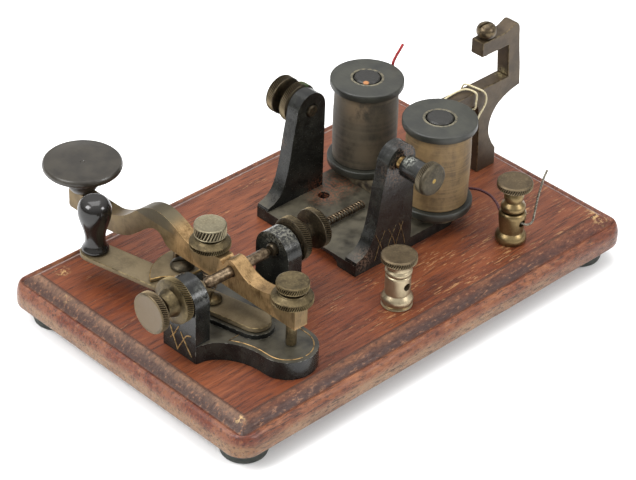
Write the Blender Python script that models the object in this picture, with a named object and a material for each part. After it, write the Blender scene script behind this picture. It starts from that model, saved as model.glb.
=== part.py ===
"""A learner's telegraph set: a camelback Morse key and a sounder on one moulded mahogany board.

Sizes are millimetres in the board's own frame: the middle of its top panel is the zero, +X runs along the
board, +Y towards the key's knob and +Z up. place() turns them into metres with the feet standing on z = 0
and the middle of the whole outline at the origin.
"""

from math import atan2, cos, pi, radians, sin

import bmesh
import bpy
from mathutils import Vector

MM = 0.001
GAP = 0.3                       # clearance between two pieces that touch

# Board and feet
PANEL_X, PANEL_Y = 97.0, 58.0   # half sizes of the flat top panel
MOULDING = 9.5                  # how far the moulded edge reaches past the panel
CORNER_R = 9.0
BOARD_T = 13.0
FOOT_R, FOOT_H = 9.3, 7.8
FOOT_INSET = 13.5
TOP_Z = FOOT_H + GAP + BOARD_T  # height of the panel above the table

# Key
KEY_X = -63.0                   # centre line of the lever
ARBOR_Y, ARBOR_Z = -16.5, 26.5
LEVER_W = 6.4
LEVER_FOOT = 18.5               # underside of the lever's straight rear part
KNOB_SEAT = 16.8
KNOB_Y, KNOB_R, KNOB_TOP = 73.0, 15.9, 30.3
FRAME_T = 8.0                   # thickness of the key's casting
UPRIGHT_IN, UPRIGHT_OUT, UPRIGHT_R = 18.3, 26.8, 9.2
HIGH_SEAT, LOW_SEAT = 28.9, 27.8  # tops of the lever under the spring screw and under the gap screw
SPRING_Y, GAP_SCREW_Y, CONTACT_Y = -1.7, -46.5, 17.2
CLOSER_PIVOT = (-70.5, -11.0)
CLOSER_HANDLE = (-81.8, 43.0)
CLOSER_TAIL = (-66.0, -30.5)
CLOSER_Z, CLOSER_T, CLOSER_W = 10.2, 2.0, 12.0
ANVIL_Z, ANVIL_T = 12.5, 1.5
ANVIL_SCREW = (-65.8, 10.8)

# Sounder
SOUNDER_Y = 3.5                 # centre line between its uprights
BED_T = 5.0
TRUNNION_X, TRUNNION_Z = 15.3, 43.5
INNER_Y, PILLAR_T = 22.0, 6.0   # half the space between the uprights, and their thickness
COIL_X, COIL_SPACING = 44.5, 40.5
FLANGE_R, FLANGE_T, CORE_R = 15.0, 3.2, 5.5
YOKE_T = 2.8
COIL_Z, COIL_TOP = 8.4, 48.0
GOOSE_Y, GOOSE_T = -1.8, 6.4
STOP_X = 85.5

POST_Y = -47.1
POST_NEAR_X, POST_FAR_X = -7.4, 57.2
WIRE_HOLE_Z = 10.2

BOARD_Y = -(KNOB_Y + KNOB_R - PANEL_Y - MOULDING) / 2  # brings the whole outline's middle to the origin


def place(x, y, z):
    return Vector((x, y + BOARD_Y, z + TOP_Z)) * MM


def material(name, colour, roughness, metallic=0.0):
    made = bpy.data.materials.new(name)
    made.use_nodes = True
    shader = made.node_tree.nodes["Principled BSDF"]
    shader.inputs["Base Color"].default_value = (*colour, 1)
    shader.inputs["Roughness"].default_value = roughness
    shader.inputs["Metallic"].default_value = metallic
    return made


def finish(name, mesh, finish_of, spot=(0, 0, 0), pivot=None):
    """Makes the object. Its origin is at spot, or its parent empty is at the joint's axis."""
    mesh.materials.append(finish_of)
    mesh.shade_smooth()
    mesh.set_sharp_from_angle(angle=radians(32))
    made = bpy.data.objects.new(name, mesh)
    bpy.context.scene.collection.objects.link(made)
    made.location = place(*spot)
    if pivot:
        made.parent = pivot
        made.location -= pivot.location
    return made


def empty(name, spot):
    made = bpy.data.objects.new(name, None)
    bpy.context.scene.collection.objects.link(made)
    made.location = place(*spot)
    return made


def mesh_of(name, shape):
    bmesh.ops.recalc_face_normals(shape, faces=shape.faces)
    mesh = bpy.data.meshes.new(name)
    shape.to_mesh(mesh)
    shape.free()
    return mesh


def skin(rings, bore=False):
    """A closed body through rings of points. A ring of one point closes a pole; bore joins last to first."""
    shape = bmesh.new()
    rows = [[shape.verts.new(Vector(point) * MM) for point in ring] for ring in rings]
    pairs = list(zip(rows, rows[1:])) + ([(rows[-1], rows[0])] if bore else [])
    for low, high in pairs:
        count = max(len(low), len(high))
        for i in range(count):
            j = (i + 1) % count
            corners = [low[i % len(low)], low[j % len(low)], high[j % len(high)], high[i % len(high)]]
            shape.faces.new(list(dict.fromkeys(corners)))
    if not bore:
        for row in (rows[0], rows[-1]):
            if len(row) > 2:
                shape.faces.new(row)
    return shape


def ring(radius, z, count):
    if radius == 0:
        return [(0, 0, z)]
    return [(radius * cos(2 * pi * i / count), radius * sin(2 * pi * i / count), z) for i in range(count)]


def turned(name, profile, finish_of, spot, axis=(0, 0, 1), count=20, bore=False, pivot=None):
    """A lathe-turned piece: profile lists (radius, height) along the axis, from spot."""
    made = finish(name, mesh_of(name, skin([ring(r, z, count) for r, z in profile], bore)), finish_of, spot, pivot)
    made.rotation_euler = Vector((0, 0, 1)).rotation_difference(Vector(axis)).to_euler()
    return made


def prism(name, outline, low, high, finish_of, plane="xy", pivot=None, spot=(0, 0, 0)):
    """An outline drawn in a plane and pushed out from low to high along the plane's normal."""
    orders = {"xy": lambda a, b, n: (a, b, n), "xz": lambda a, b, n: (a, n, b), "yz": lambda a, b, n: (n, a, b)}
    turn = orders[plane]
    rings = [[Vector(turn(a, b, n)) - Vector(spot) for a, b in outline] for n in (low, high)]
    return finish(name, mesh_of(name, skin(rings)), finish_of, spot, pivot)


def arc(x, y, radius, start, end, steps):
    """Points on an arc from start to end degrees, both ends included."""
    angles = [radians(start + (end - start) * i / steps) for i in range(steps + 1)]
    return [(x + radius * cos(a), y + radius * sin(a)) for a in angles]


def stadium(a, b, radius, steps=8):
    """A strip with round ends about the points a and b."""
    way = atan2(b[1] - a[1], b[0] - a[0]) * 180 / pi
    return arc(*b, radius, way - 90, way + 90, steps) + arc(*a, radius, way + 90, way + 270, steps)


def combine(target, other, operation):
    other.hide_render = True
    other.display_type = "WIRE"
    step = target.modifiers.new(other.name, "BOOLEAN")
    step.operation = operation
    step.object = other


def join(target, other):
    combine(target, other, "UNION")


def drill(target, spot, radius, length, axis=(0, 0, 1), count=20):
    name = f"{target.name}_hole_{len(target.modifiers)}"
    cutter = turned(name, [(radius, 0), (radius, length)], target.data.materials[0], spot, axis, count)
    if target.parent:
        bpy.context.view_layer.update()
    combine(target, cutter, "DIFFERENCE")


def helix(name, finish_of, start, axis_x, length, coil_r, wire_r, turns, steps, pivot=None):
    """A wire spring, laid along X or standing up, with a few plain points for each turn."""
    curve = bpy.data.curves.new(name, "CURVE")
    curve.dimensions = "3D"
    curve.bevel_depth = wire_r * MM
    curve.bevel_resolution = 0
    curve.use_fill_caps = True
    line = curve.splines.new("POLY")
    count = turns * steps + 1
    line.points.add(count - 1)
    for i, point in enumerate(line.points):
        angle = 2 * pi * i / steps
        along = length * i / (count - 1)
        across, up = coil_r * cos(angle), coil_r * sin(angle)
        spot = (along, across, up) if axis_x else (across, up, along)
        point.co = (*(Vector(spot) * MM), 1)
    curve.materials.append(finish_of)
    made = bpy.data.objects.new(name, curve)
    bpy.context.scene.collection.objects.link(made)
    made.location = place(*start)
    if pivot:
        made.parent = pivot
        made.location -= pivot.location
    return made


def smooth_route(points, spacing):
    """Points at an even spacing on a Catmull-Rom curve through the route's own points."""
    points = [Vector(p) for p in points]
    ends = [points[0] * 2 - points[1], *points, points[-1] * 2 - points[-2]]
    fine = []
    for a, b, c, d in zip(ends, ends[1:], ends[2:], ends[3:]):
        for i in range(12):
            t = i / 12
            fine.append(((2 * b) + (c - a) * t + (2 * a - 5 * b + 4 * c - d) * t**2
                         + (3 * b - a - 3 * c + d) * t**3) / 2)
    fine.append(points[-1])
    kept = [fine[0]]
    for point in fine[1:-1]:
        if (point - kept[-1]).length >= spacing:
            kept.append(point)
    if (kept[-1] - fine[-1]).length < spacing / 2:
        kept.pop()
    return [*kept, fine[-1]]


def cord(name, route, diameter, finish_of):
    curve = bpy.data.curves.new(name, "CURVE")
    curve.dimensions = "3D"
    curve.bevel_depth = diameter / 2 * MM
    curve.bevel_resolution = 2
    curve.use_fill_caps = True
    points = smooth_route(route, diameter * 2.2)
    line = curve.splines.new("POLY")
    line.points.add(len(points) - 1)
    for point, spot in zip(line.points, points):
        point.co = (*place(*spot), 1)
    curve.materials.append(finish_of)
    made = bpy.data.objects.new(name, curve)
    bpy.context.scene.collection.objects.link(made)


def make_materials():
    return {
        "mahogany": material("mahogany", (0.25, 0.055, 0.025), 0.45),
        "rubber": material("foot_rubber", (0.05, 0.055, 0.05), 0.8),
        "japan": material("black_japan", (0.012, 0.012, 0.014), 0.35),
        "brass": material("aged_brass", (0.32, 0.22, 0.1), 0.45, 1.0),
        "green_brass": material("tarnished_brass", (0.22, 0.2, 0.12), 0.55, 1.0),
        "nickel": material("nickel", (0.6, 0.57, 0.5), 0.3, 1.0),
        "bronze": material("brown_bronze", (0.09, 0.06, 0.04), 0.5, 1.0),
        "steel": material("dull_steel", (0.14, 0.12, 0.11), 0.45, 1.0),
        "hard_rubber": material("hard_rubber", (0.02, 0.018, 0.016), 0.3),
        "dark_wrap": material("dark_winding", (0.06, 0.045, 0.025), 0.8),
        "tan_wrap": material("tan_winding", (0.25, 0.16, 0.07), 0.8),
        "maroon": material("maroon_wire", (0.12, 0.03, 0.05), 0.6),
        "red": material("red_wire", (0.4, 0.02, 0.02), 0.6),
        "bare": material("bare_wire", (0.3, 0.28, 0.24), 0.4, 1.0),
        "string": material("tag_string", (0.7, 0.62, 0.42), 0.9),
    }


def board_ring(out, drop):
    """A rounded rectangle that far outside the panel and that far below it. Its corners are sharp at the panel."""
    radius = 0.2 + (CORNER_R - 0.2) * min(1, max(0, (out - 4) / (MOULDING - 4)))
    half_x, half_y = PANEL_X + out - radius, PANEL_Y + out - radius
    corners = ((half_x, half_y, 0), (-half_x, half_y, 90), (-half_x, -half_y, 180), (half_x, -half_y, 270))
    return [(x, y, -drop) for cx, cy, turn in corners for x, y in arc(cx, cy, radius, turn, turn + 90, 5)]


def make_board(use):
    edge = [(0, 0), (0.3, 0.5), (2.5, 0.9), (4.3, 1.3), (5.2, 2.7), (5.6, 3.2), (7.5, 3.7), (8.9, 5.2),
            (MOULDING, 7.5), (MOULDING, 12.2), (8.9, BOARD_T)]
    board = finish("base_board", mesh_of("base_board", skin([board_ring(*step) for step in edge])),
                   use["mahogany"], (0, 0, 0))
    foot_x = PANEL_X + MOULDING - FOOT_INSET
    foot_y = PANEL_Y + MOULDING - FOOT_INSET
    foot = [(2.3, 2.6), (2.3, FOOT_H), (8.6, FOOT_H), (FOOT_R, FOOT_H - 1), (FOOT_R, 1.4), (8.4, 0), (4.6, 0),
            (4.6, 2.6)]
    screw = [(0, 0.8), (4.0, 0.8), (4.0, 2.3), (1.9, 2.3), (1.9, 12.5), (0, 14)]
    for i, (sx, sy) in enumerate(((-1, -1), (1, -1), (1, 1), (-1, 1)), 1):
        spot = (sx * foot_x, sy * foot_y, -TOP_Z)
        turned(f"rubber_foot_{i}", foot, use["rubber"], spot, count=20, bore=True)
        turned(f"foot_screw_{i}", screw, use["steel"], spot, count=12)
        drill(board, (spot[0], spot[1], -BOARD_T - 1), 2.2, 8, count=12)
    return board


def fixing_screw(name, use, board, other, x, y, reach):
    """A screw put up through the board from its underside, into a blind hole in the casting above."""
    turned(name, [(0, 0.8), (4.0, 0.8), (4.0, 2.4), (1.8, 3.4), (1.8, BOARD_T + reach - 0.6), (0, BOARD_T + reach)],
           use["steel"], (x, y, -BOARD_T), count=12)
    drill(board, (x, y, -BOARD_T - 1), 2.2, BOARD_T + 2, count=12)
    drill(board, (x, y, -BOARD_T - 1), 4.4, 4.7, count=16)
    drill(other, (x, y, -1), 2.2, reach + 1.5, count=12)


def key_frame_outline():
    side = [*arc(0, -44.5, 12.8, 270, 180, 6), (-13.2, -40), (-14.5, -35.5), (-17, -31), (-21.3, -27.3),
            (-UPRIGHT_OUT, -25.7), (-UPRIGHT_OUT, -7.3), (-21.3, -5.6), (-17, -2), (-14.5, 3),
            *arc(0, 10, 13.5, 180, 90, 6)]
    other = [(-x, y) for x, y in reversed(side[1:-1])]
    return [(KEY_X + x, y) for x, y in side + other]


def make_key_frame(use, board):
    frame = prism("key_frame", key_frame_outline(), 0.1, FRAME_T, use["japan"])
    upright = [(ARBOR_Y + UPRIGHT_R, 1), *arc(ARBOR_Y, ARBOR_Z, UPRIGHT_R, 0, 180, 12), (ARBOR_Y - UPRIGHT_R, 1)]
    for name, side in (("key_upright_near", -1), ("key_upright_far", 1)):
        low, high = sorted((KEY_X + side * UPRIGHT_IN, KEY_X + side * UPRIGHT_OUT))
        join(frame, prism(name, upright, low, high, use["japan"], "yz"))
    rest = stadium(CLOSER_TAIL, (-71.0, -9.5), 7.2)
    join(frame, prism("closer_rest", rest, FRAME_T - 1, CLOSER_Z - GAP, use["japan"]))
    drill(frame, (KEY_X - 30, ARBOR_Y, ARBOR_Z), 2.9, 60, (1, 0, 0))
    drill(frame, (*CLOSER_PIVOT, 2.5), 2.1, 10, count=12)
    drill(frame, (*ANVIL_SCREW, 2.5), 2.0, 10, count=12)
    for name, y in (("key_fixing_screw_rear", -38.0), ("key_fixing_screw_front", 4.0)):
        fixing_screw(name, use, board, frame, KEY_X, y, 4.5)


def lever_outline():
    """The camelback lever's side view: rear end, boss over the arbor, the hump, then down to the knob."""
    under = [(-51.4, LEVER_FOOT), (15.5, LEVER_FOOT), (18.2, 18.7), (19.8, 19.3), (21.4, 21.3), (23.0, 22.8),
             (25.2, 23.4), (27.5, 23.1), (30.8, 21.3), (34.7, 18.0), (38.4, 14.9), (42.1, 12.3), (47.6, 9.9),
             (52.6, 8.8), (60.0, 8.1), (78.0, 8.0)]
    over = [(78.0, KNOB_SEAT), (56.0, KNOB_SEAT), (52.0, 17.1), (48.5, 18.3), (45.0, 20.1), (42.0, 22.2), (37.0, 26.6),
            (34.4, 28.8), (31.5, 30.4), (29.0, 31.6), (26.5, 32.1), (23.7, 32.4), (21.0, 32.1), (17.2, 31.0),
            (13.4, 29.4), (7.0, 26.6), (4.5, 26.6), (3.0, HIGH_SEAT), (-10.8, HIGH_SEAT), (-12.3, 27.0), (-13.2, 28.8)]
    boss = arc(ARBOR_Y, ARBOR_Z, 4.6, 125, 60, 5)[::-1]
    rear = [(-24.0, 27.3), (-29.0, 26.2), (-34.0, 26.8), (-39.0, LOW_SEAT), (-51.4, LOW_SEAT)]
    return under + over + boss + rear


def knurled_screw(name, use, spot, axis, rim, shank, pivot, cone=0.0):
    """A flat-headed thumb screw on its axis: rim is (start, end, radius), shank is (start, radius)."""
    start, end, radius = rim
    low, shank_r = shank
    tip = [(0, low), (shank_r - cone, low), (shank_r, low + cone)] if cone else [(0, low), (shank_r, low)]
    profile = [*tip, (shank_r, start), (radius - 0.5, start),
               (radius, start + 0.5), (radius, end - 0.5), (radius - 0.5, end), (0, end)]
    return turned(name, profile, use["green_brass"], spot, axis, 20, pivot=pivot)


def lock_nut(name, use, spot, axis, start, height, rim, radius, hub, bore, pivot):
    """A knurled disc with a conical hub, bored for its screw."""
    profile = [(bore, start), (radius - 0.4, start), (radius, start + 0.5), (radius, start + rim - 0.5),
               (radius - 0.5, start + rim), (hub + 0.6, start + rim + 0.3), (hub, start + height), (bore, start + height)]
    return turned(name, profile, use["green_brass"], spot, axis, 20, True, pivot)


def make_key_lever(use):
    pivot = empty("key_lever_pivot", (KEY_X, ARBOR_Y, ARBOR_Z))
    axis_spot = (KEY_X, ARBOR_Y, ARBOR_Z)
    half = LEVER_W / 2
    lever = prism("key_lever", lever_outline(), KEY_X - half, KEY_X + half, use["brass"], "yz", pivot, axis_spot)
    drill(lever, (KEY_X - 6, ARBOR_Y, ARBOR_Z), 2.45, 12, (1, 0, 0))
    for y, radius in ((SPRING_Y, 2.3), (GAP_SCREW_Y, 2.4), (KNOB_Y, 2.1)):
        drill(lever, (KEY_X, y, 5), radius, 30)
    reach = UPRIGHT_IN - 1.6
    rod = [(0, -reach), (1.6, -reach), (2.15, 0.6 - reach), (2.15, reach - 0.6), (1.6, reach), (0, reach)]
    turned("key_arbor", rod, use["steel"], axis_spot, (1, 0, 0), 16, pivot=pivot)
    low = KNOB_SEAT + GAP
    knob = [(0, 8.4), (1.8, 8.4), (1.8, low), (4.7, low), (5.7, 18.2), (6.3, 19.6), (6.4, 21.6), (6.3, 24.0),
            (6.6, 26.3), (8.0, 27.2), (15.1, 27.3), (KNOB_R, 28.0), (KNOB_R, 29.4), (15.3, 30.1), (14.6, KNOB_TOP),
            (0, KNOB_TOP)]
    turned("key_knob", knob, use["hard_rubber"], (KEY_X, KNOB_Y, 0), count=36, pivot=pivot)
    turned("key_upper_contact", [(0, 17.05), (1.3, 17.05), (1.3, LEVER_FOOT - GAP), (0, LEVER_FOOT - GAP)],
           use["steel"], (KEY_X, CONTACT_Y, 0), count=12, pivot=pivot)
    spring_spot, gap_spot = (KEY_X, SPRING_Y, 0), (KEY_X, GAP_SCREW_Y, 0)
    up = (0, 0, 1)
    knurled_screw("key_spring_screw", use, spring_spot, up, (34.2, 39.1, 6.3), (18.0, 2.0), pivot)
    lock_nut("key_spring_nut", use, spring_spot, up, HIGH_SEAT + GAP, 3.8, 2.6, 8.0, 5.5, 2.3, pivot)
    knurled_screw("key_gap_screw", use, gap_spot, up, (33.9, 37.1, 6.3), (FRAME_T + GAP, 2.1), pivot, 0.5)
    lock_nut("key_gap_nut", use, gap_spot, up, LOW_SEAT + GAP, 4.3, 2.9, 8.0, 5.5, 2.4, pivot)
    helix("key_spring", use["steel"], (KEY_X, SPRING_Y, FRAME_T + 0.8), False, 8.5, 2.4, 0.4, 5, 10)


def make_key_trunnions(use):
    for name, side in (("near", -1), ("far", 1)):
        spot, axis = (KEY_X, ARBOR_Y, ARBOR_Z), (side, 0, 0)
        knurled_screw(f"key_trunnion_screw_{name}", use, spot, axis, (38.2, 41.8, 8.15),
                      (UPRIGHT_IN - 1.3, 2.6), None, 0.6)
        lock_nut(f"key_trunnion_nut_{name}", use, spot, axis, UPRIGHT_OUT + GAP, 7.9, 3.8, 9.0, 4.5, 2.9, None)


def make_closer(use):
    arm_outline = stadium(CLOSER_TAIL, CLOSER_HANDLE, CLOSER_W / 2)
    pivot_spot = (*CLOSER_PIVOT, CLOSER_Z)
    pivot = empty("closer_pivot", pivot_spot)
    arm = prism("closer_arm", arm_outline, CLOSER_Z, CLOSER_Z + CLOSER_T, use["green_brass"], "xy", pivot, pivot_spot)
    drill(arm, (*CLOSER_PIVOT, CLOSER_Z - 2), 2.1, 8, count=12)
    drill(arm, (*CLOSER_HANDLE, CLOSER_Z - 2), 1.8, 8, count=12)
    handle = [(0, -1.5), (1.5, -1.5), (1.5, GAP), (5.2, GAP), (5.4, 1.0), (5.1, 2.1), (4.3, 3.2), (4.0, 5.8),
              (4.4, 9.2), (5.5, 13.2), (6.4, 16.2), (6.6, 17.9), (6.3, 20.2), (5.2, 22.4), (3.2, 23.7), (0, 24.1)]
    turned("closer_handle", handle, use["hard_rubber"], (*CLOSER_HANDLE, CLOSER_Z + CLOSER_T), pivot=pivot)
    screw = [(0, 3), (1.8, 3), (1.8, 12.5), (4.0, 12.5), (4.0, 13.3), (3.2, 14.2), (0, 14.5)]
    turned("closer_pivot_screw", screw, use["green_brass"], (*CLOSER_PIVOT, 0), count=20)


def make_anvil(use):
    """The contact tongue, bent out over the closer's arm, on an insulating block."""
    half = [(-60.0, 4.7), (-55.6, 6.4), (-53.0, 8.3), (-49.0, 10.9), (-45.2, 12.4), (-48.0, 15.6), (-53.5, 19.4),
            (-58.0, 21.3)]
    tongue = [*half, *((2 * KEY_X - x, y) for x, y in reversed(half))]
    plate = prism("anvil_plate", tongue, ANVIL_Z, ANVIL_Z + ANVIL_T, use["green_brass"])
    stud = [(0, ANVIL_Z + 0.5), (1.4, ANVIL_Z + 0.5), (1.4, 16.35), (0, 16.35)]
    join(plate, turned("anvil_contact", stud, use["steel"], (KEY_X, CONTACT_Y, 0), count=12))
    drill(plate, (*ANVIL_SCREW, ANVIL_Z - 2), 2.0, 6, count=12)
    block = turned("anvil_insulator", [(0, FRAME_T + GAP), (6.1, FRAME_T + GAP), (6.1, ANVIL_Z - GAP),
                                       (0, ANVIL_Z - GAP)], use["hard_rubber"], (-62.3, 11.0, 0))
    drill(block, (*ANVIL_SCREW, 5), 2.0, 10, count=12)
    screw = [(0, 3), (1.7, 3), (1.7, 14.3), (4.8, 14.3), (4.8, 15.0), (3.9, 16.2), (2.0, 16.9), (0, 17.0)]
    turned("anvil_screw", screw, use["green_brass"], (*ANVIL_SCREW, 0), count=20)


def pillar_outline():
    """A sounder upright's side view, with its foot flared towards the key."""
    return [(-7.5, 0.1), (-7.3, 5.6), (-6.6, 6.5), (-4.2, 7.1), (-2.1, 8.5), (0.3, 11.2), (1.8, 14.6), (3.0, 18.4),
            (4.0, 23.5), (5.9, 36.0), *arc(TRUNNION_X, TRUNNION_Z, 7.7, 176, 0, 10), (23.0, 30.0), (23.0, 0.1)]


def make_sounder_frame(use, board):
    near, far = SOUNDER_Y - INNER_Y, SOUNDER_Y + INNER_Y
    low, high = near - PILLAR_T, far + PILLAR_T
    plan = [(-7.5, low), *arc(44.0, low + 10, 10, 270, 360, 5), *arc(44.0, high - 10, 10, 0, 90, 5), (-7.5, high)]
    frame = prism("sounder_frame", plan, 0.1, BED_T, use["japan"])
    join(frame, prism("sounder_pillar_near", pillar_outline(), low, near, use["japan"], "xz"))
    join(frame, prism("sounder_pillar_far", pillar_outline(), far, high, use["japan"], "xz"))
    arch = [(SOUNDER_Y + 18, -1), (SOUNDER_Y + 17, 2.2), (SOUNDER_Y + 15, 3.4), (SOUNDER_Y - 15, 3.4),
            (SOUNDER_Y - 17, 2.2), (SOUNDER_Y - 18, -1)]
    combine(frame, prism("sounder_arch", arch, -9, 9, use["japan"], "yz"), "DIFFERENCE")
    drill(frame, (TRUNNION_X, low - 1, TRUNNION_Z), 2.9, high - low + 2, (0, 1, 0))
    drill(frame, (18.0, 19.5, -1), 2.4, 8, count=16)
    fixing_screw("sounder_fixing_screw_front", use, board, frame, 18.0, -8.0, 2.6)
    fixing_screw("sounder_fixing_screw_rear", use, board, frame, COIL_X, SOUNDER_Y, 2.6)


def make_sounder_screws(use):
    axis_spot = (TRUNNION_X, SOUNDER_Y, TRUNNION_Z)
    far, near = (0, 1, 0), (0, -1, 0)
    knurled_screw("sounder_screw_far", use, axis_spot, far, (36.2, 40.4, 7.9), (INNER_Y - 1.0, 2.6), None, 0.6)
    lock_nut("sounder_nut_far", use, axis_spot, far, INNER_Y + PILLAR_T + GAP, 5.4, 4.0, 8.5, 4.6, 2.9, None)
    barrel = [(0, INNER_Y - 1.0), (2.0, INNER_Y - 1.0), (2.6, INNER_Y - 0.4), (2.6, 30.4), (4.2, 30.4),
              (4.6, 30.9), (4.6, 41.0), (6.2, 41.0), (6.7, 41.5), (6.7, 44.9), (6.2, 45.4), (0, 45.4)]
    turned("sounder_screw_near", barrel, use["green_brass"], axis_spot, near)


def make_electromagnet(use):
    near, far = SOUNDER_Y - COIL_SPACING / 2, SOUNDER_Y + COIL_SPACING / 2
    prism("yoke_bar", stadium((COIL_X, near), (COIL_X, far), 11.5), BED_T + GAP, BED_T + GAP + YOKE_T, use["bronze"])
    bore, low, high = CORE_R + GAP, COIL_Z + FLANGE_T, COIL_TOP - FLANGE_T
    for name, y, wrap in (("near", near, "tan_wrap"), ("far", far, "dark_wrap")):
        spot = (COIL_X, y, 0)
        core = [(0, COIL_Z), (CORE_R, COIL_Z), (CORE_R, COIL_TOP + 0.6), (CORE_R - 0.6, COIL_TOP + 1.2),
                (0, COIL_TOP + 1.2)]
        turned(f"magnet_core_{name}", core, use["japan"], spot)
        for end, start in (("bottom", COIL_Z), ("top", COIL_TOP - FLANGE_T)):
            stop = start + FLANGE_T
            flange = [(bore, start), (FLANGE_R - 0.4, start), (FLANGE_R, start + 0.4), (FLANGE_R, stop - 0.4),
                      (FLANGE_R - 0.4, stop), (bore, stop)]
            turned(f"coil_flange_{name}_{end}", flange, use["hard_rubber"], spot, count=28, bore=True)
        winding = [(bore, low + GAP), (13.1, low + GAP), (13.1, high - GAP), (bore, high - GAP)]
        turned(f"coil_winding_{name}", winding, use[wrap], spot, count=28, bore=True)


def make_gooseneck(use, board):
    """The anvil arm that the sounder's lever would strike: an S-shaped post with two arms."""
    outline = [(82.6, 0.1), (93.5, 0.1), (93.0, 8.1), (91.1, 11.2), (89.6, 14.0), (88.7, 16.2), (88.4, 18.4),
               (88.3, 20.6), (88.7, 22.8), (89.5, 25.0), (90.7, 27.0), (92.4, 28.9), (94.5, 30.4), (97.0, 31.7),
               (99.8, 32.7), (105.6, 33.9), (104.7, 43.2), (103.5, 52.5), (102.9, 58.0), (102.2, 62.2), (100.2, 64.8),
               (94.2, 62.4), (80.6, 62.4), (80.6, 55.8), (96.4, 55.8), (97.6, 40.5), (62.0, 40.5), (62.0, 34.2),
               (79.0, 34.0), (80.2, 32.6), (81.4, 26.0)]
    low, high = GOOSE_Y - GOOSE_T / 2, GOOSE_Y + GOOSE_T / 2
    goose = prism("gooseneck", outline, low, high, use["bronze"], "xz")
    drill(goose, (STOP_X, GOOSE_Y, 50), 2.1, 20, count=12)
    fixing_screw("gooseneck_fixing_screw", use, board, goose, 88.0, GOOSE_Y, 7.0)
    screw = [(0, 53.6), (1.1, 53.9), (1.8, 54.8), (1.8, 62.7), (3.2, 62.7), (3.9, 63.8), (4.2, 65.4), (3.9, 67.0),
             (2.8, 68.2), (0, 68.7)]
    turned("gooseneck_stop_screw", screw, use["bronze"], (STOP_X, GOOSE_Y, 0), count=20)


def make_post(use, board, name, x, metal, body, thumb):
    """A binding post: its turned body with a stud through the board and a nut below, and its thumb screw."""
    stud = [(0, -10.4), (1.7, -10.4), (1.7, 0.1)]
    top = body[-1][1]
    well = [(2.1, top), (2.1, 12.6), (0, 12.6)]
    post = turned(f"post_body_{name}", stud + body + well, use[metal], (x, POST_Y, 0), count=20)
    drill(post, (x, POST_Y - 8, WIRE_HOLE_Z), 1.6, 16, (0, 1, 0), 12)
    turned(f"post_thumb_{name}", [(0, 13.0), (1.8, 13.0), *thumb], use[metal], (x, POST_Y, 0), count=20)
    turned(f"post_nut_{name}", [(2.0, -12.6), (4.2, -12.6), (4.2, -9.5), (2.0, -9.5)], use["brass"],
           (x, POST_Y, 0), count=6, bore=True)
    drill(board, (x, POST_Y, -BOARD_T - 1), 2.1, BOARD_T + 2, count=12)
    drill(board, (x, POST_Y, -BOARD_T - 1), 4.9, 4.8, count=20)


def make_posts(use, board):
    nickel = [(6.6, 0.1), (6.6, 0.8), (5.6, 1.0), (6.0, 1.9), (6.1, 3.0), (5.8, 4.6), (5.0, 6.1), (5.1, 6.7),
              (5.1, 14.1), (4.4, 14.4)]
    make_post(use, board, "nickel", POST_NEAR_X, "nickel", nickel,
              [(1.8, 14.7), (4.8, 14.7), (5.3, 15.4), (5.3, 17.2), (4.4, 18.6), (4.4, 19.6), (6.6, 20.1), (7.1, 20.7),
               (7.1, 22.9), (6.6, 23.5), (0, 23.5)])
    brass = [(5.6, 0.1), (6.2, 1.2), (6.3, 2.4), (5.9, 3.8), (4.9, 4.9), (5.1, 7.0), (5.5, 10.2), (5.6, 12.6),
             (5.3, 14.0), (4.2, 14.2)]
    make_post(use, board, "brass", POST_FAR_X, "brass", brass,
              [(1.8, 14.5), (4.0, 14.5), (4.9, 15.4), (5.0, 16.6), (4.5, 17.8), (3.4, 18.5), (3.7, 19.6), (4.0, 21.0),
               (3.6, 22.6), (2.9, 23.6), (3.2, 24.8), (6.6, 25.2), (7.2, 25.8), (7.2, 27.4), (6.7, 28.0), (0, 28.0)])


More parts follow.
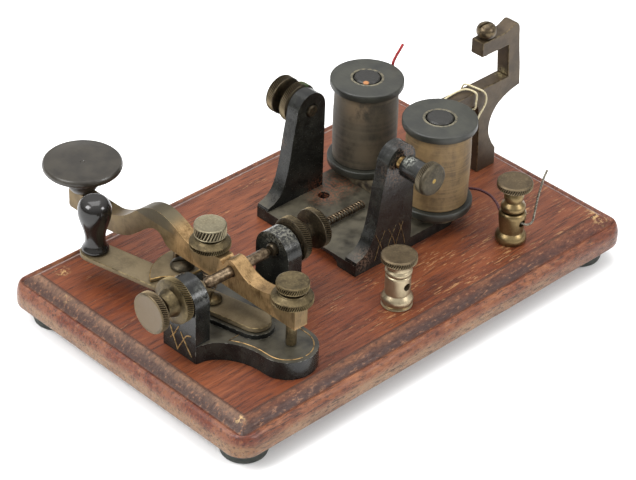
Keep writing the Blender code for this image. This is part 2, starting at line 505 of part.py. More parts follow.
def make_cords(use):
    """The loose leads and the tag string, each along its own route."""
    lead = [(57.1, -8.0, 6.9), (58.8, -12.0, 6.9), (60.6, -16.6, 7.8), (61.2, -20.6, 9.4), (62.6, -24.6, 10.0),
            (62.8, -30.3, 10.0), (60.4, -36.0, 10.1), (57.9, -39.8, 10.2), (57.4, -42.6, 10.2)]
    cord("coil_lead", lead, 1.1, use["maroon"])
    bare = [(57.2, -45.0, 10.3), (57.2, -49.0, 10.3), (57.6, -52.9, 10.2), (59.8, -53.6, 9.4), (62.6, -53.1, 9.2),
            (64.3, -52.5, 12.0), (65.3, -52.2, 16.0), (66.4, -52.0, 19.8), (68.5, -52.0, 26.5), (70.3, -52.0, 29.8)]
    cord("post_wire_end", bare, 0.7, use["bare"])
    stub = [(59.0, 25.0, 14.0), (59.1, 25.0, 22.0), (59.5, 25.0, 30.0), (60.3, 25.0, 37.0), (61.0, 25.0, 42.0),
            (61.2, 25.2, 48.0), (63.0, 25.2, 51.5), (66.4, 25.3, 54.3)]
    cord("coil_lead_stub", stub, 1.2, use["red"])
    near, back = GOOSE_Y - GOOSE_T / 2 - 1.1, GOOSE_Y + GOOSE_T / 2 + 1.1
    string = [(63.5, -1.0, 41.3), (69.0, -0.4, 41.3), (74.0, -0.6, 41.4), (76.4, -2.2, 41.5), (77.4, near + 0.8, 41.2),
              (77.8, near, 39.6), (77.6, near, 36.5), (77.4, near, 34.2), (77.2, near + 1.0, 33.1),
              (77.0, GOOSE_Y, 33.0), (77.0, back - 1.0, 33.1), (77.2, back, 34.4), (77.6, back, 37.0),
              (78.2, back, 39.8), (78.8, back - 1.0, 41.4), (79.6, GOOSE_Y, 41.7), (80.8, near + 0.8, 41.3),
              (82.4, near - 0.2, 40.0), (84.2, near - 0.5, 37.4), (85.4, near - 0.5, 34.4), (85.2, near - 0.5, 31.2),
              (83.4, near - 0.5, 29.0), (81.2, near - 0.5, 27.6), (79.6, near - 0.5, 25.6)]
    cord("tag_string", string, 1.0, use["string"])


def main():
    for old in list(bpy.data.objects):
        bpy.data.objects.remove(old, do_unlink=True)
    use = make_materials()
    board = make_board(use)
    make_key_frame(use, board)
    make_key_lever(use)
    make_key_trunnions(use)
    make_closer(use)
    make_anvil(use)
    make_sounder_frame(use, board)
    make_sounder_screws(use)
    make_electromagnet(use)
    make_gooseneck(use, board)
    make_posts(use, board)
    helix("retractile_spring", use["steel"], (2.4, 2.6, BED_T + 2.2), True, 21.0, 1.45, 0.35, 14, 7)
    make_cords(use)


main()
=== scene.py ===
from math import atan2, cos, degrees, pi, radians, sin

import bmesh
import bpy
from mathutils import Euler, Matrix, Vector, noise


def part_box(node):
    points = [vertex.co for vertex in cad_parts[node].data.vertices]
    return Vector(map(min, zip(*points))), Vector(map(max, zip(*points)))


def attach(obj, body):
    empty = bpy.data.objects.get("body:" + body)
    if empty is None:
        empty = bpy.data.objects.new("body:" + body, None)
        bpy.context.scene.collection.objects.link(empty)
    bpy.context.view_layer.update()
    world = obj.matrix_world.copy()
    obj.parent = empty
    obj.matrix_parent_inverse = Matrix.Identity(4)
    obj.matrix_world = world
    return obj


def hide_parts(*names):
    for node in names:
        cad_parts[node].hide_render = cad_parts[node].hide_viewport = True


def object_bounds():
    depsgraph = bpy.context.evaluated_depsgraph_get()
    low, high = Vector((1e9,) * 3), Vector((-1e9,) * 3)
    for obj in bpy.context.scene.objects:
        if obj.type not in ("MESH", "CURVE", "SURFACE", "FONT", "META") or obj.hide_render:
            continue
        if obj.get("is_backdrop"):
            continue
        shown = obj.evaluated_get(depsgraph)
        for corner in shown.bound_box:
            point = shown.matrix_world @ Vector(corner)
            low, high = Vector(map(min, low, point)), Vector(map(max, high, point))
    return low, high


# %% [markdown]
# # A telegraph learner's set
# A brass camelback key and a bare sounder share one mahogany board. A solid model of every part is already
# made, and this lesson dresses it: each worn casting, knurled nut and wound coil is built again with the
# edges and the finish of the real one. The plain solid then steps aside, but still says how the piece
# moves.

# %% Load the solid model
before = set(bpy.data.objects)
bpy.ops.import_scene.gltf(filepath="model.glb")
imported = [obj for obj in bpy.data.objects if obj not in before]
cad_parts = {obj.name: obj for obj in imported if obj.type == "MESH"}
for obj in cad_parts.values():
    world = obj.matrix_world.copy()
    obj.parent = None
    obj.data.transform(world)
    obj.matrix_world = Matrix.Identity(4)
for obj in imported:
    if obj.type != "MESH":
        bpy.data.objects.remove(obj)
cad_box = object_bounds()

# %% [markdown]
# ## Where things are
# The maker's drawing starts from the middle of the board's top panel, in millimetres: X runs along the
# board, Y towards the finger knob and Z up. The model stands on the table and is in metres, so one small
# function carries a point from the drawing to the model, and every piece below is written in the drawing's
# own sizes.

# %% From the drawing to the model
BOARD_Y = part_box("base_board")[1].y - 0.0675
TOP_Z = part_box("base_board")[1].z


def place(x, y, z):
    return Vector((x / 1000, y / 1000 + BOARD_Y, z / 1000 + TOP_Z))


print("panel centre", [round(v * 1000, 1) for v in place(0, 0, 0)])

# %% [markdown]
# ## The camera
# The set is seen from a metre away with a long lens, from the corner by the key and from above, with the
# head tipped a little. A camera's own axes are turned first up from straight down, then round the board,
# and last about its own line of sight. The small shift moves the picture on the film without turning the
# camera.

# %% Make the camera
AZIMUTH, ELEVATION, TIP = radians(-45.43), radians(34.92), radians(2.27)
lens = bpy.data.cameras.new("camera")
lens.lens = 142.45
lens.shift_x, lens.shift_y = -0.011, 0.0045
lens.clip_start = 0.01
camera = bpy.data.objects.new("camera", lens)
turn = Euler((pi / 2 - ELEVATION, 0, AZIMUTH)).to_matrix() @ Matrix.Rotation(TIP, 3, "Z")
camera.matrix_world = Matrix.Translation(place(-582.5, -573.8, 570.9)) @ turn.to_4x4()
bpy.context.scene.collection.objects.link(camera)
bpy.context.scene.camera = camera
print("camera at", [round(v, 3) for v in camera.location])

# %% [markdown]
# ## Finishes as recipes
# Old metal and wood are never one colour. Each finish is a small recipe of nodes: noise stretched along the
# grain, a threshold that turns it into patches, and a mix of two colours. Writing node links by hand is
# long, so a recipe object adds one node for each call and hands back its output. Positions are in metres,
# so a size in millimetres becomes a noise scale of a thousand over that size. Because the room is bright,
# each swatch is toned down a little and warmed as it goes in.

# %% A recipe for node materials
class Recipe:
    def __init__(self, name, roughness=0.5, metallic=0.0, tone=(0.6, 0.58, 0.5)):
        self.tone = tone
        self.material = bpy.data.materials.new(name)
        self.material.use_nodes = True
        self.tree = self.material.node_tree
        self.shader = self.tree.nodes["Principled BSDF"]
        self.shader.inputs["Roughness"].default_value = roughness
        self.shader.inputs["Metallic"].default_value = metallic
        self.where = self.add("ShaderNodeTexCoord").outputs["Object"]

    def add(self, kind, settings=(), **values):
        node = self.tree.nodes.new(kind)
        for key, value in dict(settings).items():
            setattr(node, key, value)
        for key, value in values.items():
            self.feed(node.inputs[key.replace("_", " ")], value)
        return node

    def feed(self, socket, value):
        if isinstance(value, bpy.types.NodeSocket):
            self.tree.links.new(value, socket)
        else:
            socket.default_value = value

    def swatch(self, colour):
        """A colour toned down for the bright room; a socket is passed on as it is."""
        if isinstance(colour, bpy.types.NodeSocket):
            return colour
        return (*(value * share for value, share in zip(colour, self.tone)), 1)

    def noise(self, size, stretch=(1, 1, 1), detail=4.0, roughness=0.6, shift=(0, 0, 0)):
        moved = self.add("ShaderNodeMapping", Vector=self.where, Scale=stretch, Location=shift).outputs[0]
        return self.add("ShaderNodeTexNoise", Vector=moved, Scale=1000 / size, Detail=detail,
                        Roughness=roughness).outputs["Fac"]

    def step(self, value, start, end):
        return self.add("ShaderNodeMapRange", {"interpolation_type": "SMOOTHSTEP"}, Value=value,
                        From_Min=start, From_Max=end).outputs[0]

    def maths(self, operation, one, other=0.0):
        node = self.add("ShaderNodeMath", {"operation": operation})
        self.feed(node.inputs[0], one)
        self.feed(node.inputs[1], other)
        return node.outputs[0]

    def times(self, one, other):
        return self.maths("MULTIPLY", one, other)

    def plus(self, one, other):
        return self.maths("ADD", one, other)

    def mix(self, share, one, other):
        node = self.add("ShaderNodeMix", {"data_type": "RGBA"})
        self.feed(node.inputs[0], share)
        for socket, colour in ((node.inputs[6], one), (node.inputs[7], other)):
            self.feed(socket, self.swatch(colour))
        return node.outputs[2]

    def cover(self, under, where, share, colour):
        """Lays a colour over what is there, where told to and at most to that share."""
        return self.mix(self.times(where, share), under, colour)

    def along(self, axis):
        return self.add("ShaderNodeSeparateXYZ", Vector=self.where).outputs[axis]

    def mark(self, name):
        """How far a point carries a mark that the shape was made with."""
        return self.add("ShaderNodeAttribute", {"attribute_name": name}).outputs["Fac"]

    def near(self, spot, reach, soft=0.5):
        """1 at a spot in the drawing, falling to 0 at a distance of reach millimetres."""
        apart = self.add("ShaderNodeVectorMath", {"operation": "DISTANCE"})
        self.feed(apart.inputs[0], self.where)
        self.feed(apart.inputs[1], place(*spot))
        return self.step(apart.outputs["Value"], reach / 1000, reach * soft / 1000)

    def done(self, colour, roughness=None, height=None, depth=0.1, shine=0.5):
        self.shader.inputs["Specular IOR Level"].default_value = shine
        self.feed(self.shader.inputs["Base Color"], self.swatch(colour))
        if roughness is not None:
            self.feed(self.shader.inputs["Roughness"], roughness)
        if height is not None:
            bump = self.add("ShaderNodeBump", Height=height, Distance=depth / 1000, Strength=1.0)
            self.tree.links.new(bump.outputs[0], self.shader.inputs["Normal"])
        return self.material


def two_tone(name, roughness, metallic, size, start, end, dark, light, detail=4.0):
    """A finish that wanders between two colours in patches of that size."""
    use = Recipe(name, roughness, metallic)
    return use.done(use.mix(use.step(use.noise(size, detail=detail), start, end), dark, light))


print("a recipe adds nodes to a Principled shader")

# %% [markdown]
# ## The cords
# Four soft things belong to the set: a maroon cloth-covered lead from the coils to the brass post, a bare
# twisted wire that pokes out of the same post, the red end of a lead behind the far coil, and a tag string
# tied round the anvil's arm. A poly curve with a bevel makes a tube of exact thickness. Points sampled from
# a smooth curve through a few route points keep it free of kinks.

# %% A smooth route and a cord
def flow(points, steps=8, closed=False):
    """Points on a Catmull-Rom curve through the given ones."""
    given = [Vector(p) for p in points]
    if closed:
        ends = [given[-1], *given, given[0], given[1]]
    else:
        ends = [given[0] * 2 - given[1], *given, given[-1] * 2 - given[-2]]
    made = []
    for a, b, c, d in zip(ends, ends[1:], ends[2:], ends[3:]):
        for i in range(steps):
            t = i / steps
            made.append((2 * b + (c - a) * t + (2 * a - 5 * b + 4 * c - d) * t**2
                         + (3 * b - a - 3 * c + d) * t**3) / 2)
    return made if closed else [*made, given[-1]]


def tube(name, points, width, finish, body, resolution=4, cyclic=False):
    """A round bar of that width, in millimetres, along points in the drawing."""
    curve = bpy.data.curves.new(name, "CURVE")
    curve.dimensions = "3D"
    curve.bevel_depth = width / 2000
    curve.bevel_resolution = resolution
    curve.use_fill_caps = True
    line = curve.splines.new("POLY")
    line.points.add(len(points) - 1)
    line.use_cyclic_u = cyclic
    for point, spot in zip(line.points, points):
        point.co = (*place(*spot), 1)
    curve.materials.append(finish)
    made = bpy.data.objects.new(name, curve)
    bpy.context.scene.collection.objects.link(made)
    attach(made, body)
    return made


def length_of(points):
    return sum((a - b).length for a, b in zip(points, points[1:])) / 1000


# %% [markdown]
# The cloth on the old leads has a fine slanting braid. A wave with tight bands along the lead, broken up by
# noise, is enough at this size. The bare wire is grey tinned copper, and the string is soft unbleached
# cotton.

# %% Finishes for the cords
def braid_finish(name, dark, light, band):
    use = Recipe(name, 0.75)
    weave = use.noise(band, (1, 1.6, 1), 2.0)
    return use.done(use.mix(use.step(weave, 0.35, 0.65), dark, light), height=weave, depth=0.08)


maroon_cloth = braid_finish("maroon_cloth", (0.045, 0.012, 0.02), (0.16, 0.05, 0.07), 0.5)
red_cover = braid_finish("red_cover", (0.26, 0.006, 0.01), (0.5, 0.02, 0.025), 1.0)
cotton = braid_finish("cotton_string", (0.7, 0.6, 0.4), (1.0, 0.95, 0.75), 0.7)
bare_copper = braid_finish("tinned_wire", (0.16, 0.15, 0.14), (0.5, 0.48, 0.45), 0.6)
bare_copper.node_tree.nodes["Principled BSDF"].inputs["Metallic"].default_value = 0.8

# %% The four cords
LEAD = [(57.1, -8.0, 6.9), (58.8, -12.0, 6.9), (60.6, -16.6, 7.8), (61.2, -20.6, 9.4), (62.6, -24.6, 10.0),
        (62.8, -30.3, 10.0), (60.4, -36.0, 10.1), (57.9, -39.8, 10.2), (57.4, -42.6, 10.2)]
WIRE_END = [(57.2, -45.0, 10.3), (57.2, -49.0, 10.3), (57.6, -52.9, 10.2), (59.8, -53.6, 9.4),
            (62.6, -53.1, 9.2), (64.3, -52.5, 12.0), (65.3, -52.2, 16.0), (66.4, -52.0, 19.8),
            (68.5, -52.0, 26.5), (70.3, -52.0, 29.8)]
STUB = [(59.0, 25.0, 14.0), (59.1, 25.0, 22.0), (59.5, 25.0, 30.0), (60.1, 25.0, 37.0), (60.3, 25.0, 42.0),
        (60.6, 25.1, 47.6), (62.3, 25.2, 50.3), (64.2, 25.2, 52.4), (66.2, 25.3, 54.4)]
NEAR, BACK = -6.1, 2.5
STRING = [(63.5, -1.0, 41.3), (69.0, -0.4, 41.3), (74.0, -0.6, 41.4), (76.4, -2.2, 41.5),
          (77.4, NEAR + 0.8, 41.2), (77.8, NEAR, 39.6), (77.6, NEAR, 36.5), (77.4, NEAR, 34.2),
          (77.2, NEAR + 1.0, 33.1), (77.0, -1.8, 33.0), (77.0, BACK - 1.0, 33.1), (77.2, BACK, 34.4),
          (77.6, BACK, 37.0), (78.2, BACK, 39.8), (78.8, BACK - 1.0, 41.4), (79.2, -1.8, 41.7),
          (80.0, NEAR + 0.8, 41.5), (81.2, NEAR - 0.2, 40.6), (82.6, NEAR - 0.5, 38.6),
          (83.2, NEAR - 0.5, 36.0), (82.6, NEAR - 0.5, 33.6), (81.2, NEAR - 0.5, 31.8),
          (79.8, NEAR - 0.5, 30.2), (78.8, NEAR - 0.5, 28.4)]

for name, solid, route, width, finish, slot, end, stiffness, lay in (
        ("coil_lead_cloth", "coil_lead", LEAD, 1.1, maroon_cloth, "maroon_wire", "object", "medium", "loose"),
        ("post_wire_strands", "post_wire_end", WIRE_END, 0.9, bare_copper, "bare_wire", "bare", "stiff",
         "loose"),
        ("coil_lead_red", "coil_lead_stub", STUB, 1.2, red_cover, "red_wire", "bare", "stiff", "loose"),
        ("tag_cotton", "tag_string", STRING, 0.8, cotton, "tag_string", "knot", "limp", "hanging")):
    points = flow(route)
    cord = tube(name, points, width, finish, "base")
    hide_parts(solid)
    print(name, round(length_of(points) * 1000, 1), "mm long")

# %% [markdown]
# ## Making solid pieces
# Almost everything here was either turned on a lathe or cut from a flat pattern. So two small makers do
# most of the work: one spins a profile round an axis, with knurling as teeth pressed into chosen rows, and
# the other pushes an outline out to a thickness. A bevel then softens every sharp edge, because a real edge
# is never sharp, and can give the edge a finish of its own: wear on some pieces, a painted highlight on
# others.

# %% Turning, cutting and finishing
AXES = {"+x": (1, 0, 0), "-x": (-1, 0, 0), "+y": (0, 1, 0), "-y": (0, -1, 0), "+z": (0, 0, 1)}


def lathe(profile, spot, axis="+z", count=48, bore=False, teeth=0):
    """A turned body. A row is (radius, height), and a third value is how deep its knurl bites."""
    shape = bmesh.new()
    groove, ridge = (shape.verts.layers.float.new(mark) for mark in ("groove", "ridge"))
    lean = Vector((0, 0, 1)).rotation_difference(Vector(AXES[axis]))
    count = 2 * teeth if teeth else count
    rows = []
    start = next((row[1] for row in profile if len(row) > 2), 0)
    for radius, height, *bite in profile:
        row = []
        for i in range(count if radius else 1):
            r = radius - (bite[0] if bite and i % 2 else 0)
            angle = 2 * pi * i / count + (0.4 * (height - start) / radius if bite else 0)
            turned = lean @ Vector((r * cos(angle), r * sin(angle), height))
            row.append(shape.verts.new(place(*(Vector(spot) + turned))))
            row[-1][groove if i % 2 else ridge] = 1.0 if bite else 0.0
        rows.append(row)
    for low, high in list(zip(rows, rows[1:])) + ([(rows[-1], rows[0])] if bore else []):
        for i in range(count):
            j = (i + 1) % count
            ring = [low[i % len(low)], low[j % len(low)], high[j % len(high)], high[i % len(high)]]
            shape.faces.new(list(dict.fromkeys(ring)))
    return shape


def slab(outline, low, high, plane="xy"):
    """An outline in a plane of the drawing, pushed out from low to high."""
    turn = {"xy": lambda a, b, n: (a, b, n), "xz": lambda a, b, n: (a, n, b),
            "yz": lambda a, b, n: (n, a, b)}[plane]
    shape = bmesh.new()
    rows = [[shape.verts.new(place(*turn(p[0], p[1], n))) for p in outline] for n in (low, high)]
    for i in range(len(outline)):
        j = (i + 1) % len(outline)
        shape.faces.new([rows[0][i], rows[0][j], rows[1][j], rows[1][i]])
    shape.faces.new(rows[0])
    shape.faces.new(rows[1])
    return shape


def as_object(name, shape, finish=None):
    bmesh.ops.recalc_face_normals(shape, faces=shape.faces)
    mesh = bpy.data.meshes.new(name)
    shape.to_mesh(mesh)
    shape.free()
    made = bpy.data.objects.new(name, mesh)
    bpy.context.scene.collection.objects.link(made)
    if finish:
        mesh.materials.append(finish)
    return made


def settle(made):
    """Keeps what the modifiers make as the object's own mesh."""
    bpy.context.view_layer.update()
    mesh = bpy.data.meshes.new_from_object(made.evaluated_get(bpy.context.evaluated_depsgraph_get()))
    made.modifiers.clear()
    made.data = mesh


def carve(made, shape, operation="DIFFERENCE"):
    """Cuts a shape away from an object, or joins it on."""
    tool = as_object("tool", shape)
    step = made.modifiers.new("carve", "BOOLEAN")
    step.operation, step.object = operation, tool
    settle(made)
    bpy.data.objects.remove(tool, do_unlink=True)


def drill(made, spot, radius, low, high, count=20, axis="+z"):
    """A round hole from low to high along an axis."""
    carve(made, lathe([(0, low), (radius, low), (radius, high), (0, high)], spot, axis, count))


def finish_piece(made, body, stands_for=(), bevel=0.0, worn=None, angle=30, segments=2):
    """Softens the edges, shades, and hangs the piece on its body."""
    if bevel:
        edge = made.modifiers.new("edges", "BEVEL")
        edge.width, edge.segments = bevel / 1000, segments
        edge.limit_method, edge.angle_limit = "ANGLE", radians(angle)
        edge.use_clamp_overlap = True
        # The edge finish passed as worn is wear on some pieces and a painted highlight on others.
        if worn:
            made.data.materials.append(worn)
            edge.material = 1
        settle(made)
    made.data.shade_smooth()
    made.data.set_sharp_from_angle(angle=radians(38))
    if bevel:
        even = made.modifiers.new("even", "WEIGHTED_NORMAL")
        even.keep_sharp = True
        settle(made)
    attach(made, body)
    if stands_for:
        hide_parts(*([stands_for] if isinstance(stands_for, str) else stands_for))
    return made


def arc(x, y, radius, start, end, steps):
    angles = [radians(start + (end - start) * i / steps) for i in range(steps + 1)]
    return [(x + radius * cos(a), y + radius * sin(a)) for a in angles]


def stadium(a, b, radius, steps=12):
    way = degrees(atan2(b[1] - a[1], b[0] - a[0]))
    return arc(*b, radius, way - 90, way + 90, steps) + arc(*a, radius, way + 90, way + 270, steps)


def smooth_run(points, steps=5):
    """A curved stretch of an outline."""
    return [(p.x, p.y) for p in flow([(*q, 0) for q in points], steps)]


print("lathe and slab are ready")

# %% [markdown]
# ## The board
# The base is one piece of mahogany, red-brown under an old varnish. Its grain runs the long way in short
# dashes, dark pores beside pale scratches that follow them. The moulded edge has lost its varnish: it is
# dull red on top, tan on its side, and chipped to bare wood at the corners. One recipe tells these places
# apart by how far they are from the middle and from the top.

# %% The mahogany finish
def mahogany_finish():
    use = Recipe("mahogany", 0.42)
    x, y, z = (use.along(i) for i in range(3))
    out_x = use.maths("SUBTRACT", use.maths("ABSOLUTE", x), 0.097)
    out_y = use.maths("SUBTRACT", use.maths("ABSOLUTE", use.maths("SUBTRACT", y, BOARD_Y)), 0.058)
    outside = use.maths("MAXIMUM", out_x, out_y)
    edge = use.step(outside, -0.0001, 0.0003)
    broad = use.noise(30, (0.4, 1, 1), 3.0)
    figure = use.noise(2.4, (0.1, 1, 1), 6.0, 0.7)
    fibre = use.noise(0.8, (0.07, 1, 1), 4.0, 0.7, (3, 1, 2))
    panel = use.mix(use.step(broad, 0.3, 0.7), (0.2, 0.048, 0.018), (0.29, 0.085, 0.036))
    panel = use.cover(panel, use.step(figure, 0.42, 0.66), 0.6, (0.1, 0.022, 0.01))
    panel = use.cover(panel, use.step(fibre, 0.5, 0.64), 0.7, (0.05, 0.014, 0.008))
    panel = use.cover(panel, use.step(fibre, 0.45, 0.3), 0.5, (0.42, 0.15, 0.07))
    front = use.times(use.step(y, BOARD_Y - 0.01, BOARD_Y - 0.04), use.step(x, -0.06, 0.0))
    scratch = use.noise(0.55, (0.13, 1, 1), 2.0, 0.5, (7, 5, 1))
    crowd = use.noise(9, (0.5, 1, 1), 3.0)
    many = use.times(use.step(scratch, 0.6, 0.65), use.times(front, use.step(crowd, 0.42, 0.55)))
    few = use.times(use.step(scratch, 0.63, 0.67), use.step(crowd, 0.56, 0.66))
    pale = use.maths("MAXIMUM", many, use.times(few, 0.7))
    panel = use.cover(panel, pale, 0.75, (0.62, 0.34, 0.17))
    dust = use.times(use.step(x, 0.0, 0.1), use.step(y, BOARD_Y - 0.06, BOARD_Y + 0.05))
    panel = use.cover(panel, dust, 0.35, (0.33, 0.125, 0.08))
    mottle = use.noise(1.3, (0.4, 1, 1), 6.0, 0.72, (1, 4, 2))
    cloud = use.noise(9, (0.5, 1, 1), 4.0, 0.6, (2, 2, 7))
    end = use.step(x, -0.0965, -0.098)
    slope = use.mix(end, use.mix(use.step(cloud, 0.35, 0.65), (0.14, 0.042, 0.02), (0.21, 0.08, 0.04)),
                    use.mix(use.step(cloud, 0.35, 0.65), (0.15, 0.082, 0.058), (0.27, 0.15, 0.1)))
    roll = use.mix(use.step(cloud, 0.35, 0.65), (0.2, 0.058, 0.028), (0.34, 0.13, 0.065))
    worn_red = use.mix(use.step(cloud, 0.4, 0.6), (0.17, 0.042, 0.026), (0.26, 0.1, 0.066))
    roll = use.cover(roll, end, 0.85, worn_red)
    flank = use.mix(use.step(cloud, 0.3, 0.6), (0.24, 0.11, 0.055), (0.33, 0.19, 0.11))
    moulded = use.mix(use.step(outside, 0.0046, 0.006), slope, roll)
    moulded = use.mix(use.step(z, TOP_Z - 0.0062, TOP_Z - 0.0092), moulded, flank)
    # Painted shade: the concave valley of the moulding is darkened.
    valley_shade = use.times(use.step(outside, 0.0012, 0.004), use.step(outside, 0.0066, 0.0048))
    moulded = use.cover(moulded, valley_shade, 0.85, (0.055, 0.022, 0.018))
    moulded = use.cover(moulded, use.step(x, 0.04, 0.1), 0.75, (0.17, 0.042, 0.02))
    moulded = use.cover(moulded, use.step(mottle, 0.5, 0.64), 0.75, (0.05, 0.016, 0.01))
    moulded = use.cover(moulded, use.step(mottle, 0.47, 0.34), 0.6, (0.46, 0.21, 0.11))
    speck = use.times(use.step(fibre, 0.58, 0.64), use.step(outside, 0.0055, 0.0065))
    moulded = use.cover(moulded, speck, 0.85, (0.04, 0.02, 0.014))
    wood = use.mix(edge, panel, moulded)
    groove = use.times(use.step(outside, -0.0005, 0.0), use.step(outside, 0.0008, 0.0003))
    wood = use.cover(wood, groove, 0.6, (0.07, 0.03, 0.02))
    chips = use.noise(1.6, detail=5.0)
    bare = 0.0
    for spot, reach in (((-90, 54, 0), 4.5), ((97.5, -58.5, -0.5), 7), ((-98, 40, -2), 3), ((-99, -58, -1), 3)):
        bare = use.maths("MAXIMUM", bare, use.near(spot, reach, 0.1))
    bare = use.times(bare, use.step(chips, 0.5, 0.6))
    wood = use.cover(wood, bare, 0.85, (0.8, 0.55, 0.28))
    under = use.step(z, TOP_Z - 0.0122, TOP_Z - 0.0128)
    wood = use.cover(wood, under, 0.6, (0.1, 0.045, 0.03))
    rough = use.plus(use.times(mottle, 0.5), use.times(fibre, 0.3))
    relief = use.plus(use.times(pale, -0.5), use.times(mottle, edge))
    relief = use.plus(relief, use.times(use.step(fibre, 0.5, 0.7), -0.5))
    shiny = use.times(use.step(outside, 0.0056, 0.0064), -0.1)
    return use.done(wood, use.plus(use.plus(rough, 0.04), shiny), relief, 0.12, 0.35)


mahogany = mahogany_finish()

# %% [markdown]
# The moulding is drawn as one profile, out from the panel and down, and swept round the board. The corners
# are sharp where the panel meets it and grow rounder towards the outside, which is what makes the mitre
# line. A slow noise moves the outer points by a tenth of a millimetre or two, so the worn edge catches the
# light unevenly.

# %% Sweep the moulding
HALF_LONG, HALF_WIDE = 97, 58


def board_row(out, down):
    """One ring of the moulding, that far out from the panel and that far down."""
    radius = 0.15 + 9.0 * min(1, max(0, (out - 4) / 5.5)) ** 1.2
    half_x, half_y = HALF_LONG + out - radius, HALF_WIDE + out - radius
    row = []
    for cx, cy, turn_to in ((half_x, half_y, 0), (-half_x, half_y, 90),
                            (-half_x, -half_y, 180), (half_x, -half_y, 270)):
        row += arc(cx, cy, radius, turn_to, turn_to + 90, 10)
    made = []
    for a, b in zip(row, row[1:] + row[:1]):
        straight = (Vector(b) - Vector(a)).length > 40
        steps = (22 if abs(a[1] - b[1]) < 1 else 13) if straight else 1
        made += [Vector(a).lerp(Vector(b), i / steps) for i in range(steps)]
    worn = min(1, out / 5)
    moved = []
    for p in made:
        slow = noise.noise(Vector((p.x, p.y, down * 2)) / 14) * 0.32
        wave = slow + noise.noise(Vector((p.x, p.y, down)) / 4) * 0.12
        moved.append((p.x * (1 + wave * worn / 220), p.y * (1 + wave * worn / 140),
                      -down - abs(wave) * worn * 0.5))
    return moved


MOULDING = [(0, 0), (0.12, 0.35), (0.9, 0.6), (2.1, 1.3), (3.3, 2.3), (4.3, 3.3), (4.9, 3.95), (5.4, 4.25),
            (5.8, 4.15), (6.2, 3.8), (6.7, 3.6), (7.4, 3.8), (8.2, 4.6), (8.9, 5.8), (9.35, 7.3), (9.45, 8.6),
            (9.45, 10.2), (9.4, 12.1), (9.0, 12.8)]
shape = bmesh.new()
rows = [[shape.verts.new(place(*p)) for p in board_row(*step)] for step in MOULDING]
rows.append([shape.verts.new(place(p[0] * 0.99, p[1] * 0.985, -13)) for p in board_row(8.6, 12.8)])
for low, high in zip(rows, rows[1:]):
    for i in range(len(low)):
        j = (i + 1) % len(low)
        shape.faces.new([low[i], low[j], high[j], high[i]])
shape.faces.new(rows[0])
shape.faces.new(rows[-1])
board = as_object("mahogany_board", shape, mahogany)
FEET = [(-93, -54), (93, -54), (93, 54), (-93, 54)]
FIXINGS = [(-63, -38), (-63, 4), (18, -8), (44.5, 3.5), (88, -1.8)]
for x, y in FEET:
    drill(board, (x, y, 0), 2.2, -14, -6, 16)
for x, y in FIXINGS:
    carve(board, lathe([(0, -14), (4.4, -14), (4.4, -9.3), (2.2, -9.3), (2.2, 1), (0, 1)], (x, y, 0), count=20))
NICKEL_X, BRASS_X, POST_Y = -7.4, 57.2, -47.1
for x in (NICKEL_X, BRASS_X):
    carve(board, lathe([(0, -14), (4.9, -14), (4.9, -9.2), (2.1, -9.2), (2.1, 1), (0, 1)], (x, POST_Y, 0),
                       count=20))
finish_piece(board, "base", "base_board")
print("board has", len(board.data.polygons), "faces")

# %% [markdown]
# The four feet are moulded rubber, grey-green with age and rounded where they meet the table, each held by a
# slotted screw in a recess.

# %% Rubber feet and their screws
use = Recipe("foot_rubber", 0.7)
rubber = use.done(use.mix(use.step(use.noise(3), 0.35, 0.7), (0.022, 0.028, 0.026), (0.06, 0.07, 0.064)),
                  height=use.noise(0.8), depth=0.05)
use = Recipe("dull_steel", 0.42, 0.9)
steel = use.done(use.mix(use.step(use.noise(1.6), 0.4, 0.65), (0.12, 0.085, 0.06), (0.34, 0.26, 0.19)),
                 height=use.noise(0.5), depth=0.03)

for i, (x, y) in enumerate(FEET, 1):
    low = -TOP_Z * 1000
    foot = [(2.3, 2.6), (2.3, 7.8), (8.4, 7.8), (9.1, 7.2), (9.3, 6.2), (9.3, 1.9), (8.9, 0.7), (8.0, 0.0),
            (5.2, 0.0), (4.7, 0.5), (4.6, 2.6)]
    made = as_object(f"foot_{i}", lathe(foot, (x, y, low), bore=True), rubber)
    finish_piece(made, "base", f"rubber_foot_{i}")
    screw = [(0, 0.8), (3.4, 0.8), (4.0, 1.3), (4.0, 2.3), (1.9, 2.3), (1.9, 12.5), (0, 14)]
    made = as_object(f"foot_screw_head_{i}", lathe(screw, (x, y, low), count=24), steel)
    carve(made, slab([(x - 5, y - 0.5), (x + 5, y - 0.5), (x + 5, y + 0.5), (x - 5, y + 0.5)], low, low + 1.6))
    finish_piece(made, "base", f"foot_screw_{i}")
REACH = {(-63, -38): ("key_fixing_screw_rear", 4.5), (-63, 4): ("key_fixing_screw_front", 4.5),
         (18, -8): ("sounder_fixing_screw_front", 2.6), (44.5, 3.5): ("sounder_fixing_screw_rear", 2.6),
         (88, -1.8): ("gooseneck_fixing_screw", 7.0)}
for (x, y), (node, deep) in REACH.items():
    screw = [(0, 0.8), (3.6, 0.8), (4.0, 1.2), (4.0, 2.4), (1.8, 3.4), (1.8, 12.4 + deep), (0, 13 + deep)]
    made = as_object(f"{node}_head", lathe(screw, (x, y, -13), count=24), steel)
    carve(made, slab([(x - 5, y - 0.5), (x + 5, y - 0.5), (x + 5, y + 0.5), (x - 5, y + 0.5)], -13, -11.2))
    finish_piece(made, "base", node)
print("feet and hidden screws made")
